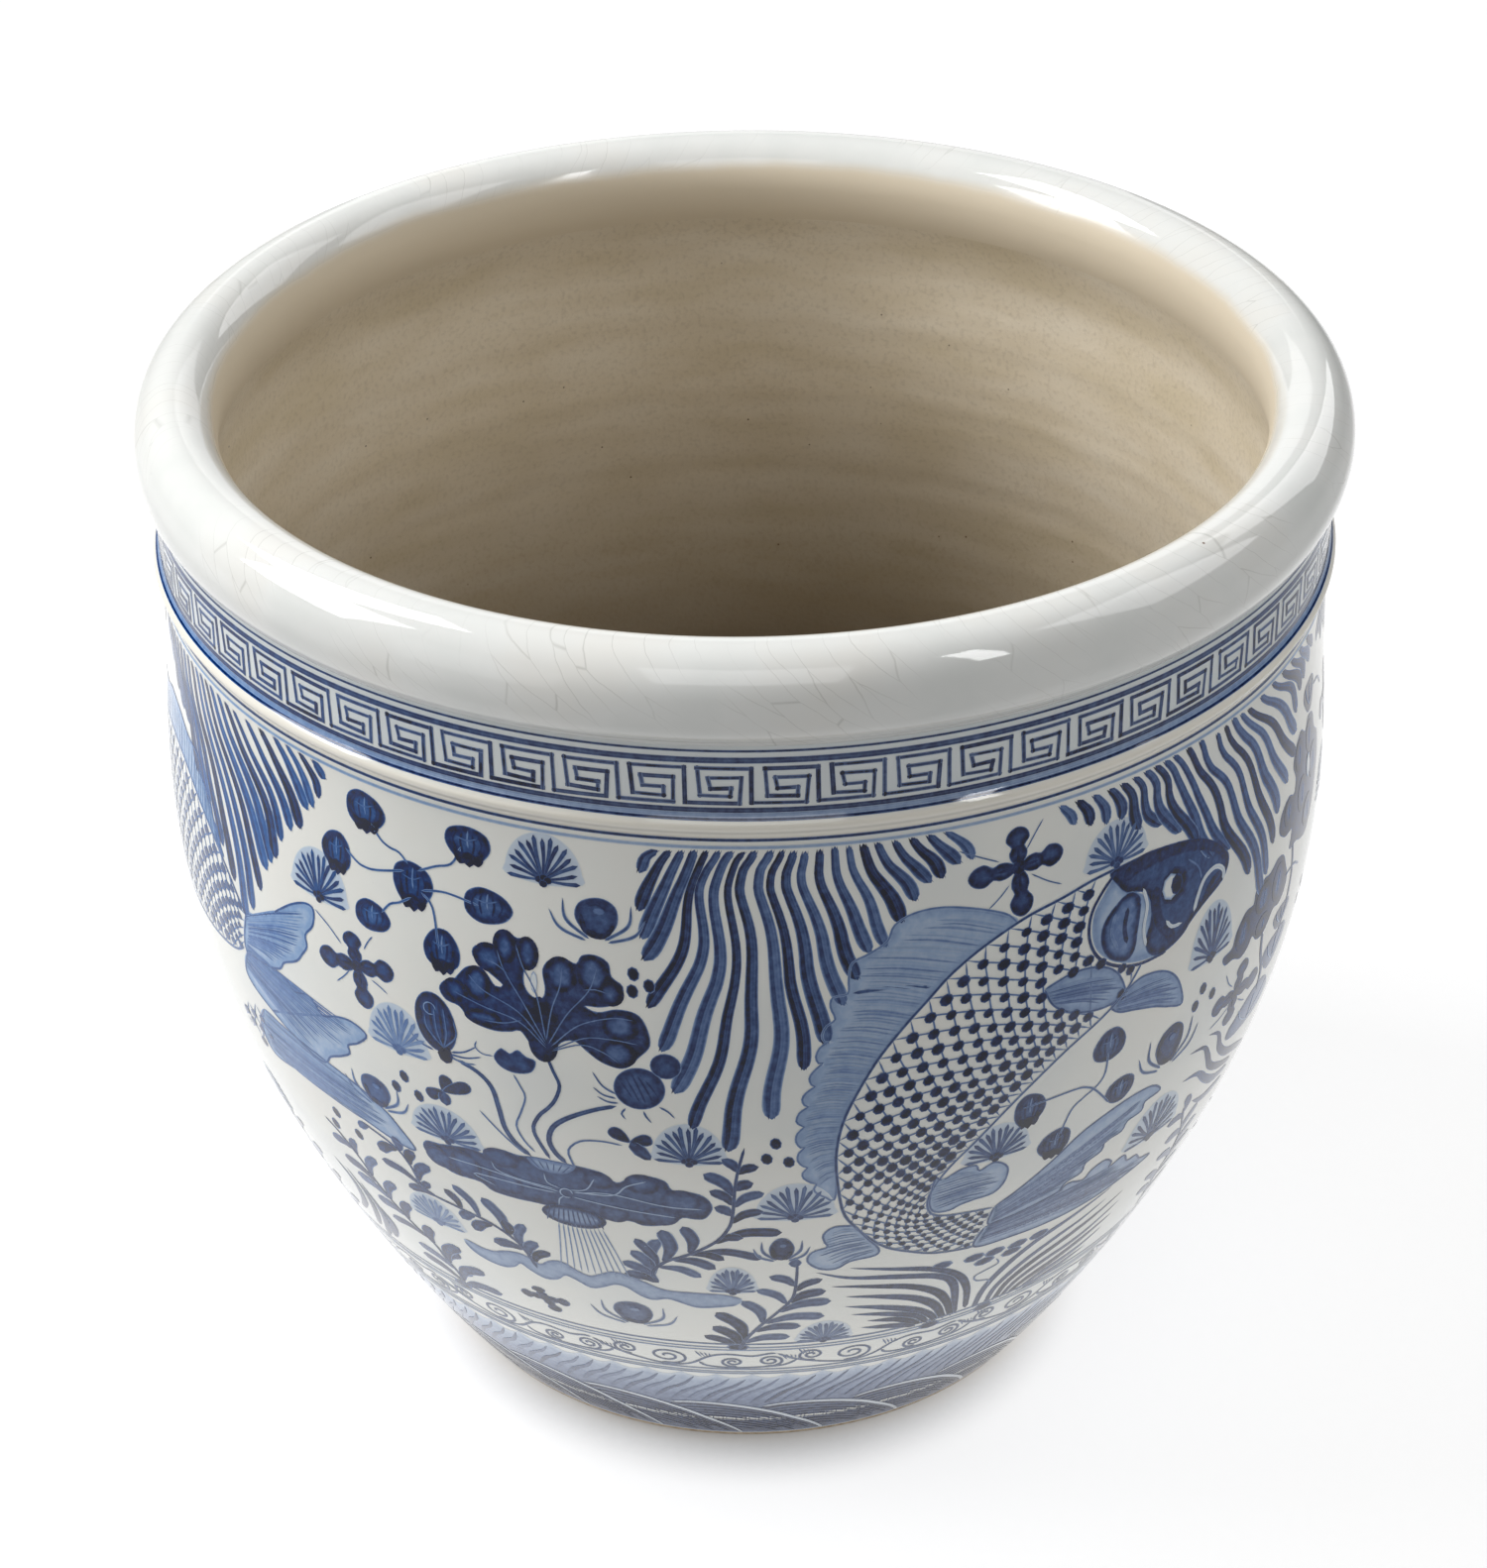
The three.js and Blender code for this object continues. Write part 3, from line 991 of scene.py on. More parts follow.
def round_leaf(coats, centre, half_width, half_height, load, stump=True):
    """A round duckweed leaf: lighter in the middle, with a black frayed foot and a scratched vein."""

    def scaled(shares):
        return beside(centre, [(x * half_width, y * half_height) for x, y in shares])

    fill(coats.body, oval(centre, half_width, half_height, wobble=0.05), load * 0.88, 0.9, 2.0)
    for side in (-1, 1):
        for reach in (0.3, 0.62):
            bow = scaled(((side * reach * 0.7, 0.6), (side * reach, 0.1), (side * reach * 0.7, -0.55)))
            stroke(coats.line, bow, 0.9, 0.94, over=load, step=1.5)
    stroke(coats.light, scaled(((0.05, 0.75), (0, 0.2), (0.05, -0.2))), 0.8, 0.4, over=load, step=1.5)
    stroke(coats.light, scaled(((-0.5, 0.3), (0, 0.2), (0.45, 0.42))), 0.6, 0.5, over=load, step=1.5)
    if stump:
        fill(coats.line, scaled(STUMP), 1.0, 1.0, 0.8, over=0.8, step=1.4)


def butterfly(coats, centre, wings, width=9.5, load=0.72):
    """A butterfly seen from above: four wings, each of two lobes."""
    for tip in wings:
        petal(coats, centre, tip, width, load, shape=WING)
        inner = np.asarray(centre) + 0.45 * (np.asarray(tip) - centre)
        stroke(coats.line, (centre, inner), (1.6, 1.0), 0.95, over=load, step=1.5)
    dot(coats.line, centre, 5.5, 6.5, 0.97, over=load)


def loose_dots(coats, *centres):
    for centre in centres:
        dot(coats.body, centre, 4.4, 6.0, 1.0, tilt=10)


FERN_LEAF_WIDTH = 5.6
# How far a leaf of a fern bows, as a share of its length
FERN_BOW = 0.14
# One fern leaf in five is laid on twice
FERN_DARK_SHARE = 0.2


def fern(coats, stem, tips, load):
    """A waterweed: a thin stem with a leaf stroke to each tip."""
    stroke(coats.line, stem, (1.8, 1.4, 1.1), load, step=3.0)
    middle = float(np.mean(np.asarray(stem)[:, 0]))
    line = smooth(flat(stem, middle), 1.0)
    if line[0, 1] > line[-1, 1]:
        line = line[::-1]
    chance = np.random.default_rng(len(stem) * 31 + len(tips))
    for tip in tips:
        end = flat([tip], middle)[0]
        gap = np.linalg.norm(line - end, axis=1)
        near = int(gap.argmin())
        # A leaf leaves the stem below the point that is nearest its tip
        root = line[max(0, near - round(0.8 * gap[near]))]
        way = end - root
        bulge = np.array((way[1], -way[0])) * (FERN_BOW if end[0] < root[0] else -FERN_BOW)
        sheet = np.array((root, root + 0.5 * way + bulge, end))
        size = FERN_LEAF_WIDTH * chance.uniform(0.85, 1.15)
        dark = 1.0 if chance.uniform() < FERN_DARK_SHARE else load * chance.uniform(0.86, 1.08)
        stroke(
            coats.body, unflat(sheet, middle), (0.3 * size, 0.95 * size, 1.05 * size), dark,
            step=1.8, tips=(1.0, 5.0), drag=(1.08, 0.94),
        )


BLADE_WIDTHS = (0.6, 3.4, 4.2, 2.6)


def blades(coats, clump, load):
    """Blades of grass, each drawn from its tip to its root."""
    chance = np.random.default_rng(len(clump))
    for blade in clump:
        size = chance.uniform(0.88, 1.12)
        widths = [width * size for width in BLADE_WIDTHS]
        dark = load * chance.uniform(0.86, 1.1)
        stroke(coats.body, blade, widths, dark, step=2.5, tips=(8.0, 2.0), drag=(0.9, 1.1))


def lobes(coats, places, share, load, edge, edge_width, over):
    """Darker rims of the rounded lobes of a leaf, each given by its centre and half sizes."""
    for degrees, level, half_width, half_height in places:
        outline = oval((degrees, level), half_width * share[0], half_height * share[1], count=9)
        fill(coats.line, outline, load, edge, edge_width, over=over)


def shifted(points, shift):
    return [(degrees + shift, level) for degrees, level in points]


# The fret border on the neck

FRET_KEYS = 63
FRET_FIRST = -4.2
# One key of the fret: share of the pitch and level, from its upper left corner
FRET_KEY = (
    (0, 382.5), (0.8, 382.5), (0.81, 368.8), (1.63, 368.8), (1.65, 378.7), (1.16, 378.8), (1.19, 374.6),
    (1.5, 374.6), (1.49, 371.3), (1.035, 371.6), (1, 382.5),
)
# Lines round the neck, the rib and the shoulder: level, height and load
NECK_BANDS = (
    (389.2, 1, 1), (385.6, 2.4, 0.84), (366, 2.1, 0.88), (364.2, 1.6, 0.42), (362.9, 1, 1), (354, 1.3, 1),
    (351, 1.5, 0.36),
)


def fret_border():
    lines = Paint("fret_border", 0.1, turns=(0,))
    for level, height, load in NECK_BANDS:
        band(lines, level, height, load, wobble=0.12)
    chance = np.random.default_rng(11)
    pitch = 360 / FRET_KEYS
    for key in range(FRET_KEYS):
        start = FRET_FIRST + key * pitch
        points = flat([(start + share * pitch, level) for share, level in FRET_KEY], start)
        points += chance.uniform(-0.2, 0.2, points.shape)
        for a, b in zip(points, points[1:]):
            way = (b - a) / np.linalg.norm(b - a)
            width = chance.uniform(1.35, 1.75)
            bar = np.array((a - way * 0.5 * width, (a + b) / 2, b + way * 0.5 * width))
            load = chance.uniform(0.8, 0.94)
            stroke(lines, unflat(bar, start), width, load, over=0.15, step=3.0, tips=(0, 0))
            # Over half of the bars have a second, darker touch, and most corners a dot
            if chance.uniform() < 0.55:
                touch = np.array((a, (a + b) / 2, a + (b - a) * chance.uniform(0.5, 1.0)))
                stroke(lines, unflat(touch, start), 0.8, 1.0, over=0.8, step=3.0, tips=(0.3, 1.0))
            if chance.uniform() < 0.8:
                dot(lines, unflat(b[None], start)[0], 1.9, 2.0, 1.0, over=0.6)
    lines.finish()


# Water weed that hangs from the shoulder, a fan of long strokes. Each key stroke has its
# number in the fan, and those between two keys are drawn from both.

CENTRE_WEED = (
    (0, (-7.7, 349), (-8.8, 346), (-9.3, 341), (-9.4, 338.5)),
    (3, (-4.5, 350), (-5.6, 338), (-6.8, 322), (-9, 303.5)),
    (5, (-2.4, 350), (-3.9, 336), (-4.3, 305), (-7.5, 269)),
    (7, (-0.2, 349.5), (-1.5, 338), (-1.4, 290), (-4.7, 239)),
    (8, (0.7, 350), (-0.5, 335), (0.4, 290), (-1.9, 228)),
    (9, (2.1, 350), (1.1, 335), (2.7, 290), (2, 244)),
    (10, (3.1, 350), (2.1, 335), (3.6, 303), (4.8, 262)),
    (12, (5, 349), (4.8, 335), (6.2, 315), (8, 291)),
    (14, (7.5, 350), (8, 334), (9.4, 318), (10.7, 305)),
    (17, (11.2, 350), (12.3, 340), (13.7, 332), (14.7, 325)),
    (21, (17.3, 350), (18.2, 347), (19, 343.5), (19.8, 340)),
)
RIGHT_WEED = (
    (0, (28.5, 349), (29, 346), (29.4, 343.5), (30, 341)),
    (3, (33.8, 348.5), (34.5, 344.5), (35.2, 339), (35.5, 333)),
    (6, (38, 349.5), (39.6, 341), (40.6, 327), (42.3, 317.5)),
    (9, (41.6, 350), (44.2, 338), (45.6, 321), (49.8, 296)),
    (11, (45.3, 350), (47.4, 335), (51.4, 310), (56.5, 266)),
    (12, (47.8, 348.5), (49.5, 336), (53.4, 310), (57.3, 272)),
    (14, (50.3, 350), (52.8, 337), (57.8, 308), (59.1, 291)),
    (16, (53, 348.5), (56.5, 337), (61, 320), (63.7, 310.5)),
    (18, (57.7, 350), (59.8, 344), (63.2, 335), (64.7, 327)),
    (22, (67, 350), (68, 346.5), (68.6, 345), (69.3, 343)),
)
LEFT_WEED = (
    (0, (-42.5, 350), (-41.7, 347), (-41.3, 345), (-41, 342.5)),
    (3, (-48, 350), (-46.5, 344), (-44.6, 335), (-43.6, 325)),
    (6, (-55, 348), (-53, 340), (-49.2, 325), (-47.5, 308)),
    (9, (-59.8, 349), (-57.5, 335), (-52, 309), (-50, 290)),
    (12, (-63.5, 349), (-61, 327), (-56, 300), (-54, 262)),
    (14, (-66, 349), (-65, 332), (-61.5, 312), (-58.5, 288)),
    (17, (-69.8, 349), (-69.6, 338), (-68.5, 328), (-66.5, 317)),
    (21, (-75, 349), (-75, 345), (-74.6, 341), (-74, 337)),
)
# On the side that the photo doesn't show
SIDE_WEED = (
    (0, (-79, 349), (-78.6, 346), (-78.2, 343), (-78, 340)),
    (4, (-84, 350), (-83, 343), (-82.2, 335), (-82, 327)),
    (8, (-89, 350), (-88.4, 336), (-88, 320), (-87.4, 305)),
    (11, (-93, 350), (-93.4, 334), (-92.8, 316), (-93, 300)),
    (14, (-97, 350), (-97.4, 338), (-97.6, 326), (-96.8, 314)),
    (17, (-101, 350), (-101.8, 344), (-102.4, 338), (-102.6, 331)),
    (21, (-107, 350), (-107.6, 346), (-108.2, 342), (-108.6, 339)),
)


# How far the strokes of each fan sway
WEED_FANS = ((LEFT_WEED, 0.7), (CENTRE_WEED, 0.8), (RIGHT_WEED, 1.5), (SIDE_WEED, 1.0))
WEED_STEP = 7.0
WEED_WIDTHS = np.array((2.7, 3.7, 5.1, 6.2))
# Streaks in a stroke, where the brush held more or less: shift, share of the width and of the load
WEED_STREAKS = ((-0.24, 0.3, 1.16), (0.2, 0.2, 0.8))


def hanging_weed():
    strokes = Paint("hanging_weed", 0.08)
    chance = np.random.default_rng(5)
    for fan, sway in WEED_FANS:
        numbers = [key[0] for key in fan]
        keys = np.array([key[1:] for key in fan], float)
        for number in range(numbers[-1] + 1):
            points = np.array([
                [np.interp(number, numbers, keys[:, p, axis]) for axis in (0, 1)] for p in range(4)
            ])
            points[3, 1] += chance.uniform(-3, 3)
            points[3] += 0.1 * (points[3] - points[2])
            size = chance.uniform(0.85, 1.12)
            load = chance.uniform(0.88, 0.98) if number % 3 == 1 else chance.uniform(0.64, 0.84)
            middle = points[0, 0]
            line = smooth(flat(points, middle), WEED_STEP)
            gone = np.arange(len(line)) * WEED_STEP
            line[:, 0] += sway * np.sin(gone / 7.5 + 0.25 * number) * np.minimum(1, gone / 20)
            widths = WEED_WIDTHS * size
            stroke(strokes, unflat(line, middle), widths, load, tips=(1.5, 7.0), drag=(1.05, 0.94))
            for shift, share, dark in WEED_STREAKS:
                streak = unflat(line + (shift * 4.4 * size, 0), middle)
                stroke(strokes, streak, widths * share, min(1, load * dark), over=load, tips=(1.5, 16.0))
    strokes.finish()


# Sprigs of duckweed

# Centre and half sizes
SPRIG_LEAVES = (
    (-36.2, 339, 9, 7.8), (-25.2, 339.2, 9, 7.6), (-39.8, 317.2, 7.3, 8.2), (-31, 316.5, 8.6, 9.3),
    (-23.4, 316.2, 9.5, 7.2), (-35.6, 297, 8.2, 6.4), (-28, 293.5, 7.6, 8.6), (34.8, 238.8, 7.8, 7.8),
    (26.4, 221.8, 6.7, 8.2), (37.1, 212.8, 7.2, 6.8), (30, 198.5, 7.4, 7.6),
)
SPRIG_STEMS = (
    ((-35, 332.5), (-34.5, 330), (-33.5, 328), (-32.4, 327.3), (-31.9, 325.5)),
    ((-26.2, 334.5), (-26.6, 331), (-27.3, 328.5), (-28.5, 326.7), (-29.5, 324.5)),
    ((-38, 318.5), (-37.3, 316.7), (-36.3, 315.9), (-35, 316.6), (-33.4, 318.7)),
    ((-28.8, 316.2), (-27.5, 317.3), (-25.8, 316.5)),
    ((-31.8, 309), (-32.5, 307), (-33.5, 305), (-34, 302.5)),
    ((-29.5, 312), (-28.9, 309.5), (-28.6, 301.5)),
    ((28.3, 223.7), (31, 223.8), (32.8, 222), (34, 218), (35, 213)),
    ((34.7, 231), (34.7, 226), (34, 221), (32.5, 217.5), (31.2, 213), (30.7, 206)),
)
# Which of the leaves have a black frayed foot, and how much cobalt they hold in turn
SPRIG_STUMPS = (0, 1, 2, 3, 6, 8, 10)
SPRIG_LOADS = (0.74, 0.78, 0.72, 0.86, 0.72, 0.62, 0.8)


def duckweed_sprigs(coats):
    for stem in SPRIG_STEMS:
        # The stems run on under the leaves
        line = np.array(stem, float)
        line[0] += line[0] - line[1]
        line[-1] += line[-1] - line[-2]
        stroke(coats.line, line, 1.0, 0.74, step=2.0)
    for number, (degrees, level, half_width, half_height) in enumerate(SPRIG_LEAVES):
        load = SPRIG_LOADS[number % len(SPRIG_LOADS)]
        round_leaf(coats, (degrees, level), half_width, half_height, load, number in SPRIG_STUMPS)


# Shells, snails, butterflies and dots: what floats between the larger motifs

# Base, half width, height and load
FANS = (
    (-18, 331.5, 13.5, 18.5, 0.86), (-42.2, 294.5, 14, 19, 0.84), (-33.4, 242.5, 13, 20, 0.5),
    (-29.5, 204, 14.5, 17, 0.72), (-5.5, 217, 12.8, 18.5, 0.8), (4.2, 186.5, 14, 19, 0.74),
    (23.5, 202, 13, 17, 0.8), (34.8, 317.5, 13.5, 17, 0.7), (47.8, 253.5, 12.5, 24, 0.86),
    (44.5, 170, 14.5, 23, 0.86), (-1.9, 140, 9, 17, 0.72), (-34.5, 146, 12.5, 17, 0.5),
    (8.3, 99.5, 10.5, 16, 0.7), (77, 262, 12.5, 19, 0.8), (-62, 150, 11, 17, 0.7), (66, 108, 10, 16, 0.7),
)
# Centre, half sizes and load
SNAILS = (
    (-13.2, 320, 7.8, 8, 0.86), (-37.4, 215, 7.2, 7.5, 0.8), (-13, 118.5, 7.8, 8.8, 0.8),
    (3, 168, 4.8, 6.8, 0.9), (43.2, 222.5, 7.6, 9.8, 0.94), (77, 200, 7.4, 8.5, 0.86),
)
# Middle and tips of the wings
BUTTERFLIES = (
    ((-37.6, 272.5), ((-38.3, 286), (-42.3, 270), (-33.4, 276.5), (-36.8, 255.5))),
    ((24.4, 329), ((24.2, 345), (19.6, 328.5), (28.8, 330.5), (24.8, 309.5))),
    ((54, 221.5), ((54.8, 236), (49.8, 223), (59, 218.5), (53.8, 206.5))),
    ((78.5, 301), ((78.5, 315.5), (74.5, 300), (82.7, 302), (78.9, 284))),
)
# Butterflies drawn small, low on the wall
MOTHS = (
    ((-23.6, 114.8), ((-24.2, 122), (-26.6, 114), (-20.6, 115), (-22.6, 105.5))),
)
ANTENNAE = (
    ((-36.7, 281), (-36.2, 285), (-35.6, 288.5)), ((-42.8, 288), (-41, 284), (-39.4, 279)),
    ((-38.6, 269), (-39.4, 265), (-40.4, 261)), ((-36, 269.5), (-35, 268), (-34.1, 266)),
    ((26.8, 346), (26, 341), (25.1, 335)), ((28.8, 317), (27.4, 320), (25.6, 325)),
    ((18.6, 341), (20.5, 337), (22.5, 333)), ((21.4, 315), (22.6, 319), (23.5, 323)),
    ((51.2, 237), (52, 231), (53, 227)), ((57, 210.5), (56, 213), (55, 216)),
    ((50, 213), (51.6, 214.5), (53, 217)),
)
DOTS = (
    (-10, 299), (-10.1, 292), (-8.6, 294.7), (-33.3, 229.5), (-34.5, 222.5), (-31.9, 222.3), (2.3, 226.5),
    (1.5, 219), (3.5, 217), (-45, 186), (-46, 177.5), (-42.2, 180.5), (47.2, 240), (46.3, 233.5), (49, 233.5),
    (71.5, 231), (70.8, 224), (73, 225),
)


# A lily pad with three duckweed leaves, on the side that the photo doesn't show
SIDE_PAD = (-87, 160)
SIDE_STEMS = (((-86.4, 152), (-85.8, 130), (-87.4, 97)), ((-88.6, 152), (-89, 128), (-87.8, 97)))
SIDE_LEAVES = (((-93, 207), 9, 7.8), ((-86.8, 195), 7.6, 8.2), ((-79.6, 209), 8.4, 7.6))


def side_pond(coats):
    """Plants and animals on the side that the photo doesn't show, of the kinds that it does."""
    strokes(coats.line, SIDE_STEMS, (1.8, 1.4, 2.2), 0.8, step=3.0)
    fill(coats.body, oval(SIDE_PAD, 38, 10.5, wobble=0.08), 0.72, 0.92, 2.2)
    for reach in (-31, -20, -8, 8, 20, 31):
        vein = beside(SIDE_PAD, ((0, 6), (0.5 * reach, 1), (reach, -4)))
        stroke(coats.light, vein, 0.9, 0.3, over=0.7, step=2.0)
    for centre, half_width, half_height in SIDE_LEAVES:
        round_leaf(coats, centre, half_width, half_height, 0.8)
        # The stems of the leaves come together over the pad
        stem = (beside(centre, [(0, -half_height)])[0], (0.4 * centre[0] - 52.2, 184), (-87, 170))
        stroke(coats.line, stem, 1.0, 0.76, step=2.0)
    shell_fan(coats, (-76.4, 172), 15, 16)
    snail(coats, (-71.4, 150), 7, 7)
    loose_dots(coats, (-96.4, 182), (-97.8, 175), (-95.2, 174))


def floating_motifs():
    coats = Coats("floating")
    side_pond(coats)
    duckweed_sprigs(coats)
    for degrees, level, half_width, height, load in FANS:
        shell_fan(coats, (degrees, level), half_width, height, load)
    for degrees, level, half_width, half_height, load in SNAILS:
        snail(coats, (degrees, level), half_width, half_height, load)
    for centre, wings in BUTTERFLIES:
        butterfly(coats, centre, wings)
    for centre, wings in MOTHS:
        butterfly(coats, centre, wings, width=6.5, load=0.66)
    strokes(coats.line, ANTENNAE, 0.6, 0.72, step=2.0)
    loose_dots(coats, *DOTS)
    coats.finish()


# The lotus on the long leaf

LOTUS_LEAF = (
    (-18.2, 258.3), (-19.3, 262), (-20.4, 268), (-21.2, 267), (-23, 265.5), (-25.2, 267), (-26.4, 272),
    (-27.7, 273), (-28.4, 277), (-27.9, 281), (-27, 282.5), (-26.5, 285), (-25.6, 289.5), (-24.6, 291),
    (-23.6, 289.5), (-22.7, 285), (-22, 286), (-23.6, 290.5), (-24.9, 295), (-24.6, 299.5), (-22.9, 301),
    (-22.7, 306), (-21.8, 308.8), (-20.5, 306.5), (-19.6, 307.5), (-18.6, 304), (-18.9, 298), (-19.8, 295),
    (-19.9, 288), (-19.2, 284), (-18.3, 284), (-18, 288), (-18.2, 296), (-17.3, 301), (-16, 301.5),
    (-15.1, 300.5), (-14.6, 304), (-13.4, 305), (-12.2, 302.5), (-11.9, 297), (-10.9, 293.5), (-11.2, 287),
    (-12.8, 284), (-14.3, 283.6), (-13.2, 281.9), (-11.5, 284), (-9.8, 283), (-8.9, 278), (-8.6, 270),
    (-9.7, 264), (-10.5, 260), (-11.5, 258.7), (-13, 260.5), (-14.2, 264), (-15.4, 268), (-16.6, 266.5),
    (-17.3, 262),
)
LOTUS_VEINS = (
    ((-18, 263), (-20.5, 272), (-24, 275), (-27, 278)), ((-18, 264), (-20.5, 276), (-24, 282), (-25.4, 287)),
    ((-18, 265), (-20, 280), (-21.8, 292), (-22.5, 300)),
    ((-18, 266), (-18.8, 285), (-20, 295), (-20.7, 304)),
    ((-18, 266), (-17.4, 280), (-16.6, 290), (-16.4, 298)),
    ((-17.8, 265), (-16, 279), (-14, 290), (-13.2, 300)), ((-17.6, 264), (-15, 275), (-12, 280), (-10, 280)),
    ((-17.4, 263), (-14.5, 270), (-12, 271), (-9.6, 270)),
    ((-17.6, 262), (-14.8, 267), (-12.8, 265), (-11.4, 261)), ((-20.2, 273), (-22, 270), (-24, 269)),
    ((-14.6, 290), (-13.4, 291), (-12.3, 290)), ((-21.4, 291), (-22.6, 294), (-23.8, 295)),
)
# Lobes of the lotus leaf: centre and half sizes
LOTUS_LOBES = (
    (-26.7, 278.5, 6, 6), (-24.5, 284, 6.5, 8.5), (-23.3, 296, 7, 7), (-21.7, 302, 5.5, 8),
    (-19.6, 301, 5, 8), (-16.5, 295, 7, 8.5), (-13.6, 297, 7, 9), (-12, 290, 5.5, 6), (-11.2, 277, 8, 7.5),
    (-11.5, 265, 8, 7), (-24, 270, 9, 4.5),
)
# Where the stripes of the bud start
BUD_STRIPES = ((-30.6, 266), (-29.6, 270), (-28.6, 271), (-27.6, 267))
WHISKERS = (
    ((-27.6, 250), (-26.2, 252), (-24.9, 256)), ((-27.7, 249), (-26, 249.5), (-24.4, 252)),
    ((-27.8, 248), (-26.4, 246.8), (-25, 247.8)), ((-29.4, 248.5), (-31, 250), (-31.8, 253)),
    ((-11.8, 247), (-13, 250), (-13.9, 256)), ((-11.8, 245), (-13, 246), (-13.9, 249)),
    ((-11.6, 243), (-12.6, 243), (-13.6, 245)), ((-11, 241), (-11.4, 238), (-11, 235.5)),
    ((-9.4, 240.5), (-9.2, 238), (-8.7, 235)), ((-8, 243), (-7.2, 241), (-6.6, 238)),
)
# Width and line
LOTUS_STEMS = (
    (2.2,
     ((-27, 247.5), (-25, 244.5), (-23.7, 239), (-23.2, 230), (-22.8, 220), (-21.8, 213), (-20.5, 208.5))),
    (0.9, ((-25.3, 226), (-24.2, 221), (-22.8, 215), (-21, 208.5))),
    (0.9, ((-21.4, 248), (-20.8, 243), (-20.4, 238), (-21, 230), (-21.6, 223), (-21, 216), (-20, 211))),
    (1.6,
     ((-18, 259), (-17.5, 253), (-17, 247), (-17.5, 240), (-18.3, 235), (-19.3, 230), (-19.9, 222),
      (-18.6, 209))),
    (2.2, ((-11.8, 241.5), (-14, 238), (-16.5, 232), (-18, 226), (-18.5, 219), (-18, 213), (-17, 208.5))),
    (1, ((-11.5, 222.5), (-13.5, 223.2), (-15.5, 221.5), (-16.7, 216), (-16.5, 210), (-16.2, 207))),
)
LONG_LEAF = (
    (-32.8, 194), (-32.3, 198.5), (-30.5, 200), (-28.8, 202), (-27, 203.5), (-25.6, 203), (-25, 206.5),
    (-23.6, 208), (-21.8, 207.4), (-20, 208.6), (-16.4, 208.4), (-13.7, 206.8), (-12.4, 202.5), (-11, 206.5),
    (-9.5, 208), (-7.8, 206), (-7.2, 201.5), (-6, 201.3), (-4.3, 199), (-3.5, 193), (-4.2, 186.5),
    (-5.2, 185.5), (-6.4, 186), (-7.2, 182.5), (-9, 180), (-10.4, 179.5), (-11.6, 181.2), (-14, 180),
    (-17, 181.5), (-20.7, 182), (-23, 181.5), (-25.5, 182), (-26.8, 185.2), (-29.5, 184.8), (-31, 187),
    (-32.2, 190.5),
)
LEAF_LOBES = (
    (-31, 192, 7.5, 7), (-28, 193, 8, 9), (-23.8, 203, 9, 6), (-23.8, 190, 9, 8.5), (-14.2, 202, 7, 5.5),
    (-10, 203, 8, 6.5), (-6.5, 195, 9, 8), (-8.5, 186, 8, 6.5), (-13, 184.5, 7, 6),
)
LEAF_VEINS = (
    ((-18.2, 192), (-21, 193), (-26, 194.5), (-30, 194)),
    ((-16.8, 193), (-13, 195.5), (-8, 192), (-4.5, 191.5)),
    ((-16.8, 193.5), (-13, 195), (-11.5, 201), (-9.5, 205)), ((-17.2, 194), (-15.5, 196), (-14.5, 203)),
    ((-18, 194), (-19.3, 196), (-19.5, 201)), ((-17.8, 190), (-18.3, 188), (-18.5, 184)),
    ((-18.5, 193), (-24, 195), (-25, 200)), ((-18.5, 191), (-27, 190), (-25, 186)),
    ((-17, 190.5), (-12, 188), (-7, 186)),
)
CROWN_LEAF = (
    (-23.2, 254), (-22.4, 258.6), (-21.6, 257), (-20.8, 259.5), (-20, 257.2), (-19.1, 256), (-19.6, 250.5),
    (-21.2, 248.5), (-22.6, 250),
)


# Small leaves on stalks: heart, tips and foot
STALK_LEAVES = (
    ((-29, 229.5), ((-28.3, 237.5), (-26, 236), (-30.8, 225)), (-28.8, 222.5)),
    ((-10.8, 224.5), ((-12.6, 230), (-8.8, 227)), (-9, 216.5)),
)
# The pale notch of the long leaf, from which the stems rise
LEAF_NOTCH = ((-21, 207.5), (-18.7, 208.3), (-16.3, 207.5), (-17.2, 203), (-18.7, 201.8), (-20.2, 203))
FRINGE_LINES = 11


def lotus_leaf(coats):
    """The lotus leaf seen from above, with its lobes, dark heart and scratched veins."""
    fill(coats.body, LOTUS_LEAF, 0.84, 0.95, 1.5)
    lobes(coats, LOTUS_LOBES, (0.86, 0.86), 0.62, 0.98, 1.5, over=0.84)
    dot(coats.line, (-18.5, 275), 15, 19, 1.0, over=0.84)
    fill(coats.line, oval((-18.3, 265), 5.6, 8.5), 0.88, 0.97, 1.2, over=0.84)
    dot(coats.light, (-19.0, 290), 2.6, 9.0, 0.06, over=0.5)
    strokes(coats.light, LOTUS_VEINS, 0.55, 0.46, over=0.8, step=2.5, tips=(2, 4))


def lotus_bud(coats):
    """The striped bud at the left of the lotus leaf."""
    fill(coats.body, oval((-29, 261.5), 8.6, 13.0, 8), 0.78, 0.94, 1.6)
    for degrees, level in BUD_STRIPES:
        dark = ((degrees, level), (degrees + 0.3, 258), (-28.5, 249))
        stroke(coats.line, dark, 1.1, 0.97, over=0.84, step=2.0)
        scratched = ((degrees + 0.5, level - 2), (degrees + 0.7, 258), (-28.3, 251))
        stroke(coats.light, scratched, 0.7, 0.5, over=0.8, step=2.0)
    dot(coats.line, (-28.2, 248), 6.5, 8, 1.0, over=0.8)
    stroke(coats.light, oval((-29.5, 267), 2.6, 2.6, count=7), 0.6, 0.3, over=0.8, step=1.2)


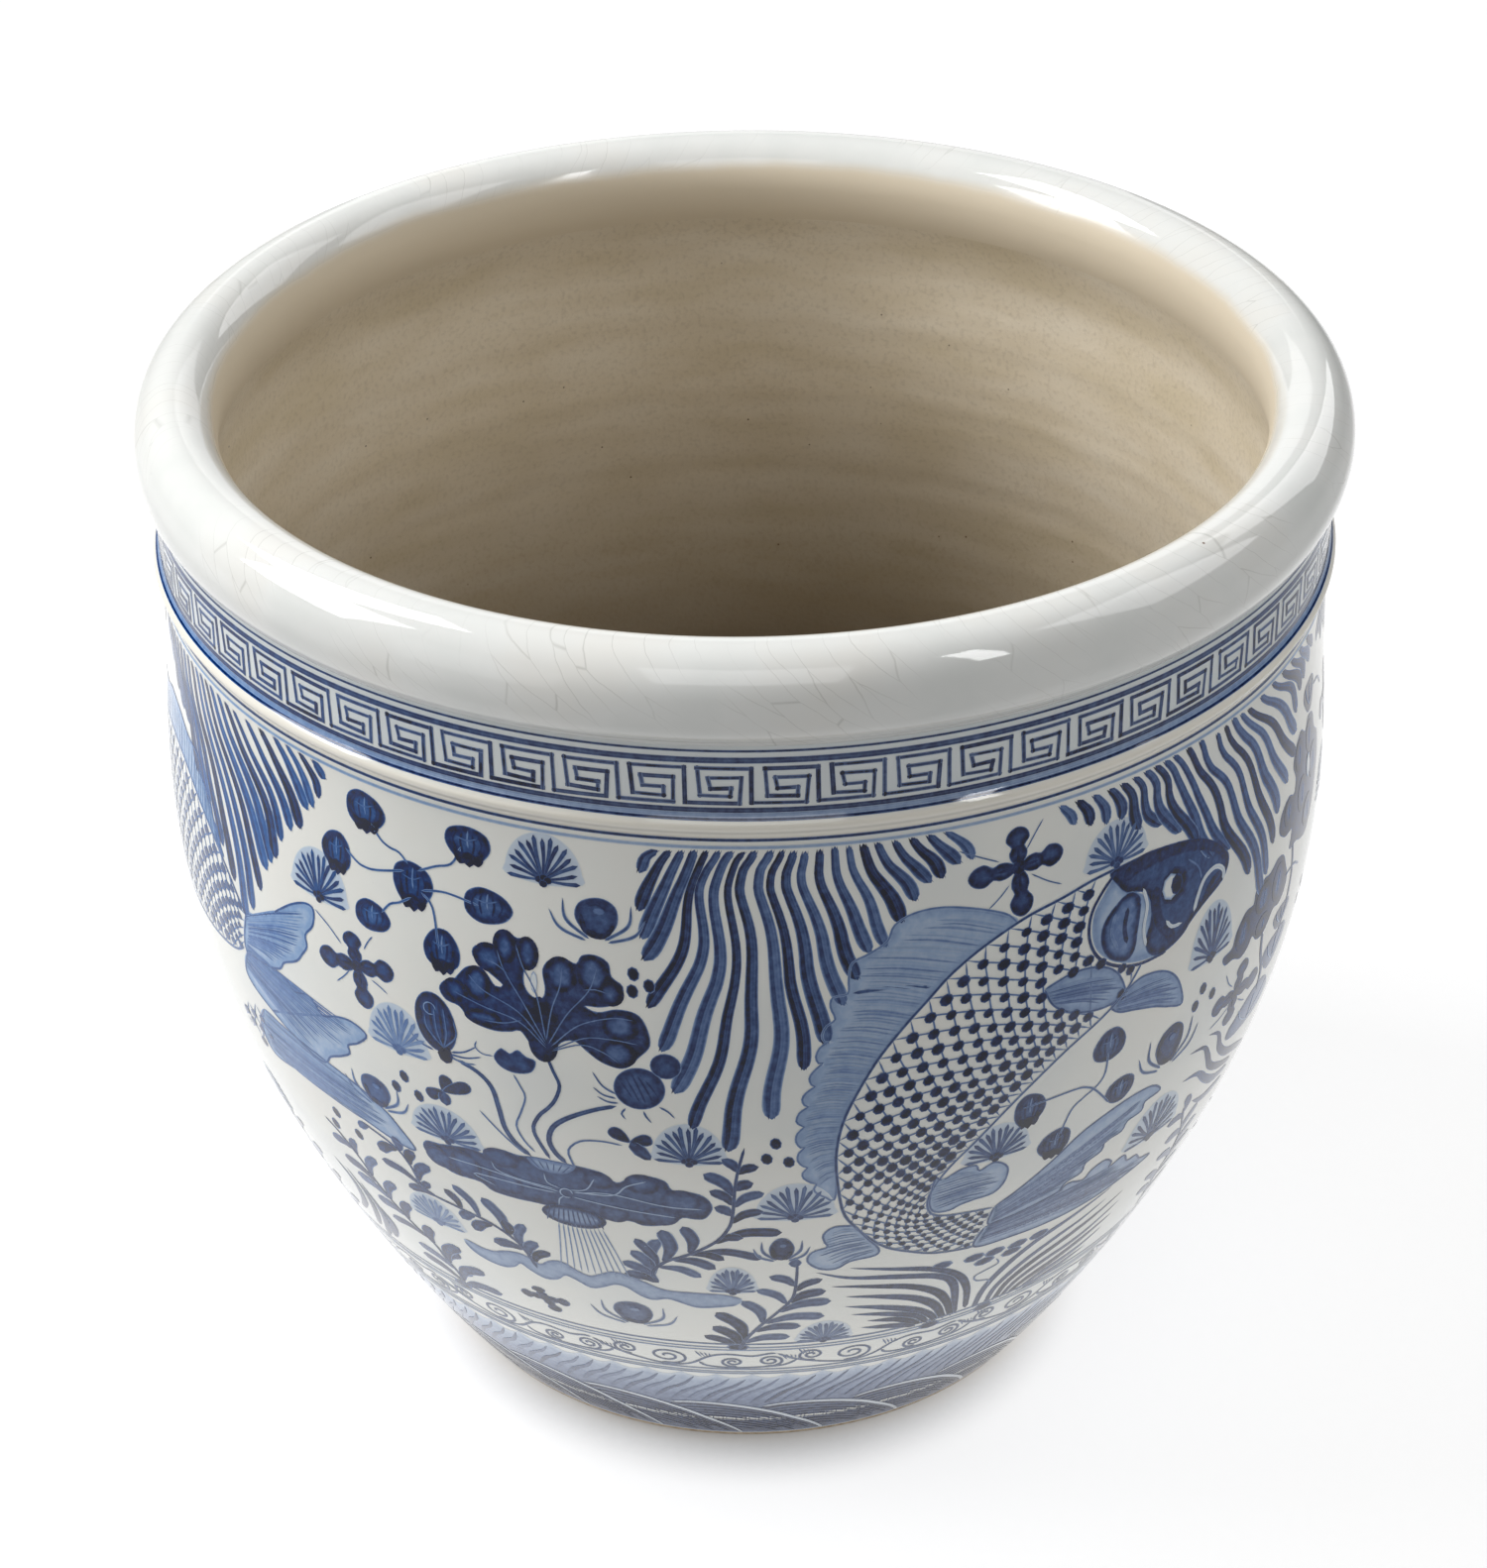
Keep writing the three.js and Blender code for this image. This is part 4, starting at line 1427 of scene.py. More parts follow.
def seed_pod(coats):
    """The ribbed pod at the right of the lotus leaf, with a plain one above it."""
    centre = (-9.7, 250.5)
    fill(coats.body, oval(centre, 9.2, 9.6, -30), 0.66, 0.84, 1.8)
    for shift in (-5, -2.5, 0, 2.5, 5):
        reach = 7.5 - abs(shift) * 0.6
        rib = beside(centre, ((shift - 3, reach), (shift, 0), (shift + 2.5, -reach)))
        stroke(coats.line, rib, 0.9, 0.86, over=0.66, step=2.0)
    fill(coats.body, oval((-7.3, 261.5), 5.6, 5.6), 0.74, 0.84, 1.5)


def long_leaf(coats):
    """The long leaf at the foot of the stems, with its lobes, veins and pale notch."""
    fill(coats.body, LONG_LEAF, 0.74, 0.88, 1.6)
    lobes(coats, LEAF_LOBES, (0.84, 0.84), 0.68, 0.86, 1.2, over=0.74)
    strokes(coats.light, LEAF_VEINS, 0.7, 0.2, over=0.7, step=2.0, tips=(1, 4))
    stroke(coats.light, oval((-17.5, 192), 2.5, 2.5, count=7), 0.7, 0.2, over=0.7, step=1.2)
    fill(coats.line, LEAF_NOTCH, 0.3, 0.5, 0.8, over=0.6)
    for turn in (-2.0, -1.2, -0.4, 0.4, 1.2, 2.0):
        stroke(
            coats.light, ((-18.7 + 0.5 * turn, 202.5), (-18.7 + turn, 207.6)), 0.55, 0.8, over=0.3, step=2.0
        )


def root_fringe(coats):
    """Short roots under the long leaf, and the thin lines that hang from them."""
    fill(coats.line, oval((-17.2, 178.5), 12.5, 6.5), 0.4, 0.9, 1.4, over=0.5)
    for i in range(FRINGE_LINES):
        share = i / (FRINGE_LINES // 2) - 1
        root = ((-17.2 + share * 2.2, 183.3), (-17.2 + share * 2.9, 173.5))
        stroke(coats.light, root, 0.7, 0.86, over=0.4, step=2.0)
        hanging = ((-16.7 + share * 2.2, 174), (-16.4 + share * 2.9, 160), (-16.2 + share * 3.8, 142))
        stroke(coats.line, hanging, (0.7, 0.6, 0.5), 0.56, step=4.0)


def lotus_group():
    coats = Coats("lotus_group")
    for width, stem in LOTUS_STEMS:
        stroke(coats.line, stem, (width * 0.8, width, width), 0.82 if width > 1.2 else 0.7, step=2.5)
    lotus_leaf(coats)
    lotus_bud(coats)
    seed_pod(coats)
    strokes(coats.line, WHISKERS, (1.0, 0.8, 0.5), 0.8, step=1.5)
    fill(coats.body, CROWN_LEAF, 0.76, 0.86, 1.3)
    stroke(coats.line, ((-23.2, 254), (-24.3, 253.7), (-25, 256), (-24.8, 259)), 0.6, 0.7, step=1.5)
    for heart, tips, foot in STALK_LEAVES:
        for tip in tips:
            petal(coats, heart, tip, 6.0, 0.8)
        stroke(coats.body, (heart, foot), (4, 6, 3), 0.9, step=1.5)
    long_leaf(coats)
    root_fringe(coats)
    coats.finish()


# The lotus at the right

RIGHT_LOTUS = (
    (50, 247.5), (51.5, 249), (52, 255), (53.5, 261), (55, 261), (55.3, 266), (57, 268), (58.3, 267.5),
    (60, 270), (61.5, 268), (62.3, 262), (63, 256), (62.8, 250), (61.5, 246), (60, 247), (59, 243), (58, 240),
    (56.5, 241), (55.5, 245), (54.8, 241.5), (53.5, 239.5), (52, 242.5), (50.5, 243),
)
RIGHT_CROWN = (
    (63, 267), (63.4, 275), (61.5, 276), (60, 281), (60.4, 288), (62.3, 292), (63.8, 290), (64.2, 296),
    (63.5, 302), (64.4, 309), (66, 312.5), (67.4, 309), (68.4, 313), (70.2, 311), (71, 303), (72.4, 298),
    (72.6, 288), (71.6, 278), (70.4, 268), (68.6, 262), (66.6, 263), (65, 266),
)
RIGHT_LOBES = (
    (53.4, 251, 6, 9), (57.2, 259, 8, 8), (60.6, 258, 7, 10), (57.6, 246, 7, 5.5), (62.4, 285, 6, 7),
    (65.4, 303, 6, 8), (68.8, 304, 6, 8), (70.4, 290, 7, 9), (66.4, 284, 7, 9), (68.6, 272, 8, 8),
)


RIGHT_STEMS = (
    ((58, 241), (58.6, 230), (60, 218), (60.5, 206)), ((64, 268), (64.6, 252), (64, 236), (62.5, 220)),
)
# Small leaves round it: centre, half sizes and load
RIGHT_LEAVES = (
    (68.8, 322, 7.5, 7, 0.84), (63, 237, 8.5, 5.5, 0.76), (62.8, 222, 12, 8.5, 0.66),
    (60, 199.5, 19, 10, 0.62),
)


def right_lotus():
    coats = Coats("right_lotus")
    for outline in (RIGHT_LOTUS, RIGHT_CROWN):
        fill(coats.body, outline, 0.84, 0.95, 1.5)
    lobes(coats, RIGHT_LOBES, (0.84, 0.86), 0.68, 0.97, 1.3, over=0.84)
    for degrees, level, _, half_height in RIGHT_LOBES:
        vein = ((degrees, level - half_height * 0.5), (degrees + 0.2, level + half_height * 0.5))
        stroke(coats.light, vein, 0.6, 0.4, over=0.7)
    dot(coats.light, (68.4, 292), 5, 11, 0.06, over=0.5)
    stroke(coats.line, ((62.5, 256), (65, 255.5), (67, 251)), 1.0, 0.8, step=2.0)
    strokes(coats.line, RIGHT_STEMS, (1.6, 2.0, 1.8), 0.82, step=2.5)
    for degrees, level, half_width, half_height, load in RIGHT_LEAVES:
        centre = (degrees, level)
        fill(coats.body, oval(centre, half_width, half_height, wobble=0.12, count=14), load, load + 0.16, 1.5)
        for share in (-0.5, 0, 0.5):
            across = share * half_width
            vein = beside(centre, ((0, -0.7 * half_height), (across, 0), (1.5 * across, 0.7 * half_height)))
            stroke(coats.light, vein, 0.7, 0.25, over=load, step=2.0)
    stroke(coats.line, ((70.6, 322), (73, 320), (74.5, 314)), 1.0, 0.8, step=2.0)
    coats.finish()


# The bottom of the pond

# Lower and upper edge of the ribbon of the bank
RIBBON_LOW = (
    (-31.8, 139), (-31, 134), (-29.5, 131), (-27.5, 130.5), (-26, 133.5), (-25, 137.5), (-24, 134.5),
    (-22.5, 131.3), (-21, 133), (-19.8, 137.5), (-18.5, 135.5), (-17.2, 132.3), (-15.8, 134.5), (-14.3, 138),
    (-13, 137), (-11.7, 132.5), (-10.5, 130.5), (-8.8, 132.3), (-7.3, 130), (-5.8, 127.5), (-4, 128),
    (-1.5, 130),
)
RIBBON_TOP = (
    (-31.5, 141), (-29.5, 139), (-28, 139.5), (-26.8, 142), (-25.3, 144), (-24, 143.8), (-22.5, 140.5),
    (-21.3, 144.5), (-19.8, 146.3), (-18.5, 143), (-17, 140.3), (-15.5, 143.5), (-14.3, 146.2),
    (-12.8, 145.5), (-11, 142), (-9, 138), (-6, 137.5), (-3, 137), (-1, 134.5),
)
# Stem and tips of the leaves
FERNS = (
    (((-9.5, 143), (-10, 150), (-8.5, 158), (-6, 164), (-3.5, 172), (-2.2, 180), (-1.7, 188), (-1.3, 208),
      (-0.5, 225)),
     ((-4.3, 211), (-3.8, 202), (-3.4, 193), (-6.5, 181), (-8.6, 178), (-9, 172), (-11.3, 171), (-11.9, 163),
      (-13, 155), (-13, 147), (0.3, 206.5), (1.3, 201), (1.2, 191), (3, 178), (-0.7, 175), (1.2, 162),
      (-2.6, 161), (-3.5, 155), (-5, 149), (-2.6, 219), (0.8, 215))),
    (((-23, 137), (-23.5, 145), (-24.5, 153), (-27, 160), (-30.5, 163), (-34.5, 166), (-35.5, 178),
      (-37, 186), (-41, 191)),
     ((-30.5, 177), (-31.8, 172), (-33.5, 171.5), (-27.2, 175.5), (-23, 166), (-25.5, 165), (-22, 156),
      (-20.8, 151), (-36.8, 192), (-34.4, 188), (-32.8, 183), (-29.5, 151), (-27.5, 147), (-30.7, 156),
      (-39.8, 172), (-39.5, 178), (-41.6, 186), (-37, 162))),
    (((-36.5, 96), (-36, 105), (-36.8, 115), (-37.5, 124), (-39.5, 132), (-41.5, 142), (-43, 152),
      (-44, 162), (-46, 172), (-48, 177)),
     ((-30, 104.5), (-33.4, 112), (-31.2, 118.5), (-33.8, 125), (-33.3, 131), (-36.6, 137), (-38.4, 148),
      (-39.4, 158), (-41, 169), (-43.6, 174), (-41.5, 107.5), (-41, 116), (-43.5, 127), (-44.4, 137),
      (-46.4, 147), (-47.4, 155), (-48, 165))),
    (((-1.5, 94), (-0.5, 104), (1, 114), (2.8, 124), (4.3, 134), (4.6, 146), (4.6, 158)),
     ((7.3, 146), (7.8, 137.5), (8.5, 129.5), (8, 118.5), (5.5, 112), (4.4, 104), (1.8, 150), (0.5, 141),
      (-1, 133), (-3.8, 124), (-4.3, 113), (-5.4, 105), (4.6, 161))),
    (((54, 100), (53.5, 112), (53, 125), (53.6, 137), (53, 150), (51.5, 161), (50.3, 171)),
     ((50, 120), (49.6, 131), (49.8, 142), (49.6, 152), (57, 118), (57, 128), (57, 140), (56.3, 151),
      (54.4, 163), (48, 166), (50, 178))),
    (((-56, 100), (-57, 112), (-58.5, 124), (-60, 137), (-61, 150)),
     ((-53, 112), (-54.5, 124), (-56, 136), (-57.5, 147), (-60.5, 113), (-62, 125), (-63.5, 137),
      (-64.5, 148), (-61.2, 160))),
    (((80, 100), (79, 114), (79.5, 128), (81, 142), (82, 156), (82, 168)),
     ((75, 116), (75.5, 130), (77, 143), (78, 155), (83, 113), (83.6, 126), (85, 140), (86, 153), (85, 165),
      (79.6, 168), (82.4, 180))),
)
# Blades, each from tip to root
GRASS = (
    ((10, 151.5), (14, 147), (19, 140.5), (22.5, 131), (24.5, 118), (25.7, 100)),
    ((6.5, 151), (10, 145), (15, 140.5), (20, 134), (22.5, 124), (24.4, 98)),
    ((8.3, 140), (12, 137), (17, 131), (20.5, 122), (22.5, 111), (24, 97)),
    ((10, 131.5), (14, 127.5), (18, 121), (21, 111), (23, 97)),
    ((10.1, 124), (14, 119.5), (18, 112.5), (20.8, 104), (22, 97)),
    ((11, 117), (15, 113), (19, 106), (21, 97)),
    ((13, 110), (17, 106), (20, 98)),
    ((12.5, 105), (17, 101), (19.5, 97)),
    ((41.5, 148), (36, 141), (32, 135), (29, 125), (27.2, 112), (27, 97)),
    ((41.5, 140.5), (38.5, 135), (35, 130), (31.5, 122), (29, 110), (28.6, 97)),
    ((44.5, 137.5), (41, 131), (37, 125), (33, 118), (30.5, 109), (29.7, 97)),
    ((45, 130), (40, 120), (35, 114), (32, 107), (30.7, 97)),
    ((45, 122), (38, 111), (33.5, 104), (31.7, 97)),
    ((44.5, 114), (41, 108), (36, 103), (33, 97)),
    ((43, 105), (38, 100), (34, 96.5)),
    ((-51, 146), (-49, 135), (-49.5, 122), (-52, 110)),
    ((-49, 145), (-47.5, 133), (-47.8, 120), (-50, 104)),
    ((-47.2, 140), (-46.2, 128), (-46.5, 116), (-49, 100)),
    ((-45.5, 128), (-45, 118), (-47, 104)),
    ((47.3, 207), (50, 204), (51.5, 196), (53, 187), (56, 179), (60, 172)),
    ((50.3, 209.5), (52.5, 205), (54, 194), (56.5, 185), (60, 178), (64, 170)),
    ((47.5, 192), (50.5, 189), (53, 180), (56, 172), (60, 168)),
    ((52, 170), (55, 164), (60, 162)),
    ((66, 150), (68, 139), (70.5, 127), (71, 112), (71, 98)),
    ((62, 143), (65, 134), (68, 123), (69.5, 110), (70, 98)),
    ((60, 131), (63, 125), (66.5, 116), (68.5, 106), (69, 98)),
    ((76, 152), (74, 140), (72.5, 126), (72, 112), (72, 98)),
    ((-70, 150), (-72, 139), (-74, 127), (-75, 112), (-75, 98)),
    ((-67, 140), (-70, 129), (-72.5, 117), (-74, 104), (-74, 98)),
    ((-82, 146), (-79.5, 136), (-77.5, 124), (-76, 110), (-76, 98)),
    ((-85, 134), (-81.5, 126), (-78.5, 115), (-77, 104), (-77, 98)),
    ((-86, 121), (-82, 113), (-79, 104), (-78, 98)),
)
CHAIN = ((20.2, 141), (24, 140), (26.5, 139.5), (29.3, 139), (32, 139.5), (25.5, 135), (28.8, 135))
TENDRIL = ((27, 134), (27.6, 129.5), (26, 127), (25, 125), (25.5, 121), (27.3, 118), (27.4, 113))
# Dark touches where plants root
ROOTS = ((21.4, 94.5), (28.5, 95), (-36.6, 97), (-1.6, 96), (70.5, 96), (-76, 96))


def pond_bottom():
    coats = Coats("pond_bottom")
    fill(coats.wash, RIBBON_LOW + RIBBON_TOP[::-1], 0.34, 0.4, 1.2)
    stroke(coats.line, RIBBON_LOW, 1.0, 0.55, over=0.2, step=2.0)
    stroke(coats.line, RIBBON_TOP, 1.2, 0.6, over=0.2, step=2.0)
    for stem, tips in FERNS:
        fern(coats, stem, tips, load=0.88)
    blades(coats, GRASS, load=0.94)
    for centre in CHAIN:
        dot(coats.body, centre, 9.5, 5.8, 0.84)
    stroke(coats.line, TENDRIL, 0.8, 0.7, step=2.0)
    for root in ROOTS:
        dot(coats.line, root, 9, 6, 0.95)
    coats.finish()


# Scroll border and the leaf border round the foot

SCROLL_PERIOD = 22.5
# Level, height and load of the lines above and below the scroll
SCROLL_BANDS = (
    (98.5, 1.2, 0.8), (95.5, 1.0, 0.66), (93.3, 1.0, 0.62), (76, 1.1, 0.8), (73.5, 1.0, 0.6),
    (71.8, 1.0, 0.66),
)
# Centre and half sizes in degrees and millimetres; neighbours wind opposite ways
SCROLL_CURLS = ((-15.3, 87, 1.7, 5.0), (-10.3, 84.8, 2.6, 6.6), (-2.3, 82.5, 1.5, 4.2), (2.2, 83.5, 1.7, 5.0))
CURL_TURNS = 1.9
SCROLL_STEMS = (
    ((-19.5, 90), (-17, 84), (-13, 79), (-10, 77.5), (-7.5, 80), (-5.2, 87), (-3, 89.5), (0, 88), (2, 90),
     (3, 90)),
    ((-6.5, 82), (-5.5, 78.6), (-2.5, 77.4), (1, 78), (4, 79.5), (5.6, 84)),
)
# Groups of four short strokes
SCROLL_LEAVES = ((-19, 86.5), (-6.8, 88.5), (5.5, 90))


def curl(paint, centre, half_width, half_height, start, way):
    """A line that winds in from the start, in degrees; way is 1 to the left and -1 to the right."""
    steps = round(CURL_TURNS * 9)
    turn = math.radians(start) + way * np.linspace(0, CURL_TURNS * 2 * np.pi, steps)
    reach = np.linspace(1, 0.12, steps)
    x = centre[0] + half_width * reach * np.cos(turn)
    y = centre[1] + half_height * reach * np.sin(turn)
    stroke(paint, np.column_stack((x, y)), 1.3, 0.96, step=1.5)


def scroll_border():
    lines = Paint("scroll_border", 0.1, turns=(0,))
    for level, height, load in SCROLL_BANDS:
        band(lines, level, height, load, wobble=0.1)
    for period in range(round(360 / SCROLL_PERIOD)):
        shift = period * SCROLL_PERIOD
        for number, (degrees, level, half_width, half_height) in enumerate(SCROLL_CURLS):
            start, way = (250, 1) if number % 2 else (290, -1)
            curl(lines, (degrees + shift, level), half_width, half_height, start, way)
        strokes(lines, [shifted(stem, shift) for stem in SCROLL_STEMS], 1.3, 0.9, step=2.5)
        for degrees, level in SCROLL_LEAVES:
            start = degrees + shift
            for i in range(4):
                top = (start + i * 0.55, level + 3.2 - i * 0.5)
                foot = (start + 0.8 + i * 0.35, level - 2.4 + i * 0.4)
                stroke(lines, (top, foot), 0.8, 0.84, step=3.0)
    lines.finish()


FOOT_STROKE_PITCH = 2.25
FOOT_LEAVES = 27
FOOT_LEAF_PERIOD = 360 / FOOT_LEAVES
FOOT_LEAF_ARC = ((-12, 37.5), (-9, 40), (-5, 40), (-1, 37), (3, 31), (6, 24), (9, 16), (11, 9), (11.6, 5.8))
# Lines inside each leaf, each this much lower than the last, down to the foot
INNER_LINES = 9
INNER_DROP = 3.0
FOOT_LINE = 5.5
# Level and load of the wash behind the leaves; above the notched level its rows run in points
FOOT_WASH = ((5.6, 0.4), (7.5, 0.72), (16, 0.8), (30, 0.76), (42, 0.6), (55, 0.42), (66, 0.34), (71, 0.16))
NOTCHED_FROM = 60


def foot_wash(paint):
    """The wash of the border: one sheet round the foot, paler upwards, with a toothed top."""
    turn = np.arange(721) / 2
    notch = 3.5 * np.abs(np.sin(np.radians(turn * 40)))
    sheet = np.vstack([
        np.column_stack((turn - 180, level - notch * (level > NOTCHED_FROM))) for level, _ in FOOT_WASH
    ])
    loads = np.repeat([load for _, load in FOOT_WASH], len(turn))
    paint.patch(sheet, loads, sheet_faces(len(FOOT_WASH), len(turn)))


def foot_leaves():
    coats = Coats("foot_leaves", turns=(0,))
    foot_wash(coats.wash)
    chance = np.random.default_rng(3)
    for number in range(round(360 / FOOT_STROKE_PITCH)):
        start = number * FOOT_STROKE_PITCH + chance.uniform(-0.25, 0.25)
        tip = (start + 1.6, 67 + chance.uniform(-1.5, 1.5))
        points = ((start - 5, 41), (start - 2.4, 52), (start, 59), tip)
        size = chance.uniform(0.8, 1.2)
        widths = (1.2 * size, 2.3 * size, 1.9 * size, 0.8)
        stroke(coats.line, points, widths, chance.uniform(0.6, 0.84), over=0.4, step=3.0, tips=(2, 5))
    for number in range(FOOT_LEAVES):
        leaf = shifted(FOOT_LEAF_ARC, number * FOOT_LEAF_PERIOD)
        for inner in range(1, INNER_LINES + 1):
            drop = inner * INNER_DROP
            lowered = [(degrees + 0.2 * inner, level - drop) for degrees, level in leaf]
            points = [place for place in lowered if place[1] > FOOT_LINE]
            if len(points) > 2:
                dark = chance.uniform(0.84, 1.0)
                stroke(coats.line, points, (0.8, 1.1, 0.8), dark, over=0.76, step=4.0)
        body = [(degrees, level - 1.8) for degrees, level in leaf[:-1]]
        stroke(coats.body, body, 3.4, 0.9, over=0.7, step=3.0)
        stroke(coats.light, leaf, (1.4, 2.4, 2.2, 1.4), 0.08, over=0.5, step=3.0)
    coats.finish()


# The carp

def scalloped(edge, count, depth):
    """A fin's edge with rounded lobes, each of which bulges to the left by the depth in degrees."""
    line = smooth(edge, 1.0)
    points = []
    for i in range(count):
        for share, bulge in ((0.0, 0.0), (0.3, 0.8), (0.65, 1.0), (0.93, 0.5)):
            place = line[round((i + share) / count * (len(line) - 1))]
            points.append((float(place[0]) - bulge * depth, float(place[1])))
    return points


CARP_BACK = (
    (35, 315), (32, 314), (29, 311.5), (25, 308), (21, 301), (18, 293), (16, 285), (13.5, 274), (11.3, 262),
    (9.5, 248), (8.3, 235), (7.8, 222), (7.9, 208), (8.7, 188), (10, 178), (11.5, 170), (13.5, 162),
    (16, 156.5), (19, 151.5), (23.4, 148.5),
)
CARP_BELLY = (
    (38, 271), (36, 261), (33.5, 254), (30, 246), (27, 237), (24, 226), (21, 213), (18.8, 203), (17.5, 194),
    (17, 186), (17.5, 178.5), (19, 175), (22, 173), (24.5, 171.5),
)
DORSAL_LOBES = (
    (7.5, 281), (6.9, 272), (6.3, 261), (5.5, 249), (4.9, 238), (4.9, 225), (5.3, 212), (6.3, 203),
    (7.5, 196),
)
CARP_DORSAL = (
    (24.3, 307), (23, 312), (20, 317), (17, 320), (14.5, 319.5), (12.8, 316), (12.1, 310), (10.5, 306),
    (9, 303), (8.7, 297), (8.6, 291), (7.3, 290), (7.1, 286), *scalloped(DORSAL_LOBES, 9, 0.75), (7.8, 195),
    *CARP_BACK[12:3:-1],
)
# Outline, root and edge of each fin at the breast
CARP_PECTORALS = (
    (((27, 276), (30, 279), (33, 277), (35, 271), (36, 262), (35.5, 259), (33, 258.5), (30, 262), (28, 268)),
     ((27, 276), (27.5, 272), (28, 268)), ((35, 271), (36, 264), (34, 259))),
    (((35.5, 260), (38, 264), (41, 261), (43, 253), (44, 240.5), (42, 243), (40, 247), (37.5, 250.5),
      (35.5, 253), (34.5, 257)),
     ((35.5, 260), (35, 257), (35, 254)), ((41, 261), (43.4, 252), (44, 241))),
)
CARP_ANAL = (
    (17.5, 199), (18.3, 196.5), (20, 200), (21.5, 200), (22, 196.5), (23.5, 199), (25, 194), (25, 186),
    (24, 181), (22, 180.3), (20.5, 179.3), (19.5, 177.5), (18, 178.5), (17.3, 183), (17.2, 190),
)
CARP_SMALL_FIN = (
    (10, 178.5), (8, 179), (7, 175), (7.2, 170), (7.5, 167), (6, 164.5), (5.6, 159), (6.8, 153.5),
    (8.5, 152.3), (9.8, 156), (11, 157), (12.5, 158), (12.7, 162), (11.3, 170),
)
CARP_TAIL_TOP = (
    (24.5, 171.5), (27, 178), (30, 187), (33, 197), (36, 202), (39, 204.5), (42, 203.5), (43.5, 198),
    (41.5, 196.5), (41.3, 192), (39.5, 190.5), (39, 186), (37, 185), (36.8, 180), (35, 177), (34.8, 172),
    (33, 170), (32, 165), (28, 162), (24.5, 161),
)
CARP_TAIL_LOW = (
    (24, 160), (28, 162), (32, 165), (33.5, 168.5), (35.5, 166), (36.3, 170), (38, 172), (39.2, 168),
    (39, 165), (41, 167.5), (42, 162), (43.5, 161.5), (44.5, 157), (46.5, 154), (42, 150), (38, 147.5),
    (33, 146.5), (28, 147), (23.5, 148.5),
)
CARP_HEAD = (
    (34, 314), (36, 315.5), (40, 315), (44, 311.5), (47, 305), (49.5, 297), (50, 292), (49.5, 287),
    (48.5, 284), (46.5, 281), (44.5, 277), (43, 272.5), (41, 270), (39.5, 270.5), (38.5, 274), (38.2, 280),
    (38.8, 287), (38.8, 294), (38, 300), (36, 303), (35, 307),
)
CARP_GILL_PLATE = (
    (36.3, 303), (34.6, 300), (33.2, 294), (33, 286), (34, 278.5), (36, 274.5), (37, 278), (37.3, 285),
    (37.6, 292), (37.6, 299),
)
# The head and the place behind the gill line, which carry no scales
CARP_CHEEK = (
    (35, 316), (32.6, 307), (31.5, 300), (31.4, 291), (32.4, 281), (34.4, 274), (38, 269), (45, 268),
    (52, 290), (45, 316),
)
CARP_CHEEK_WASH = (
    (34.8, 312), (33.2, 306), (32.2, 300), (32, 291), (32.8, 283), (34.8, 276), (37.6, 271.6), (41, 271),
    (39.5, 282), (39, 295), (36.5, 304),
)
# Other fins of the first carp: outline, root, edge, load of the wash and of the rays, number of rays
CARP_FINS = (
    (CARP_ANAL, ((17.5, 197), (17.2, 188), (18, 179)), ((22, 197), (25, 190), (23, 181)), 0.24, 0.6, 12),
    (CARP_SMALL_FIN, ((10, 177), (11.5, 168), (12.5, 160)), ((7.5, 176), (6.3, 163), (8.5, 153)),
     0.24, 0.6, 12),
    (CARP_TAIL_TOP, ((24.5, 171), (24.6, 166), (24.5, 162)), ((42, 203), (39.5, 189), (33, 168)),
     0.27, 0.7, 34),
    (CARP_TAIL_LOW, ((24.2, 159), (23.8, 154), (23.6, 150)), ((40, 166), (46, 154), (38, 148)),
     0.27, 0.7, 28),
)
DORSAL_ROOT = ((24.3, 309), (21.5, 303), (18.3, 295), (16, 285), (11.3, 262), (8.3, 235), (7.9, 208))
DORSAL_EDGE = ((18, 319), (12.4, 311), (9, 302), (8.6, 289), (6, 260), (4.3, 230), (6.3, 203))
SECOND_BACK = ((-54.3, 262), (-58, 277), (-63, 290), (-69, 299), (-76, 299), (-82, 292), (-87, 280))
SECOND_BELLY = ((-55.5, 244), (-58, 238), (-63, 234), (-69, 233), (-76, 233), (-82, 233), (-87, 236))
SECOND_DORSAL = (
    (-58, 279), (-60, 290), (-61, 298), (-63, 303), (-64, 310), (-67, 312), (-70, 316), (-74, 317),
    (-77, 313), (-81, 311), (-84, 303), (-86, 293), (-87, 282), (-82, 292), (-76, 299), (-69, 299),
    (-63, 290),
)
SECOND_TAIL_TOP = (
    (-54.2, 263), (-51, 267), (-48.5, 276), (-46, 284), (-44, 288), (-43, 287), (-43.2, 280), (-44.3, 274),
    (-44.2, 269), (-45, 264), (-46, 259), (-48, 254), (-49.5, 248), (-55, 243),
)
SECOND_TAIL_LOW = (
    (-55, 243), (-50, 246.5), (-48, 246), (-47, 243), (-45, 245.5), (-44, 244), (-43, 240), (-41, 243.5),
    (-39, 245), (-37.3, 242), (-38.5, 236), (-40, 232), (-40, 228), (-41.3, 224), (-43, 220), (-45, 214),
    (-52, 222), (-56, 230),
)
SECOND_LOW_FIN = (
    (-54, 218), (-50, 217.5), (-45, 216), (-40, 212), (-37, 206), (-35.5, 200), (-34, 190), (-36.5, 190),
    (-40, 193), (-45, 197), (-50, 196), (-55, 193), (-56, 205),
)


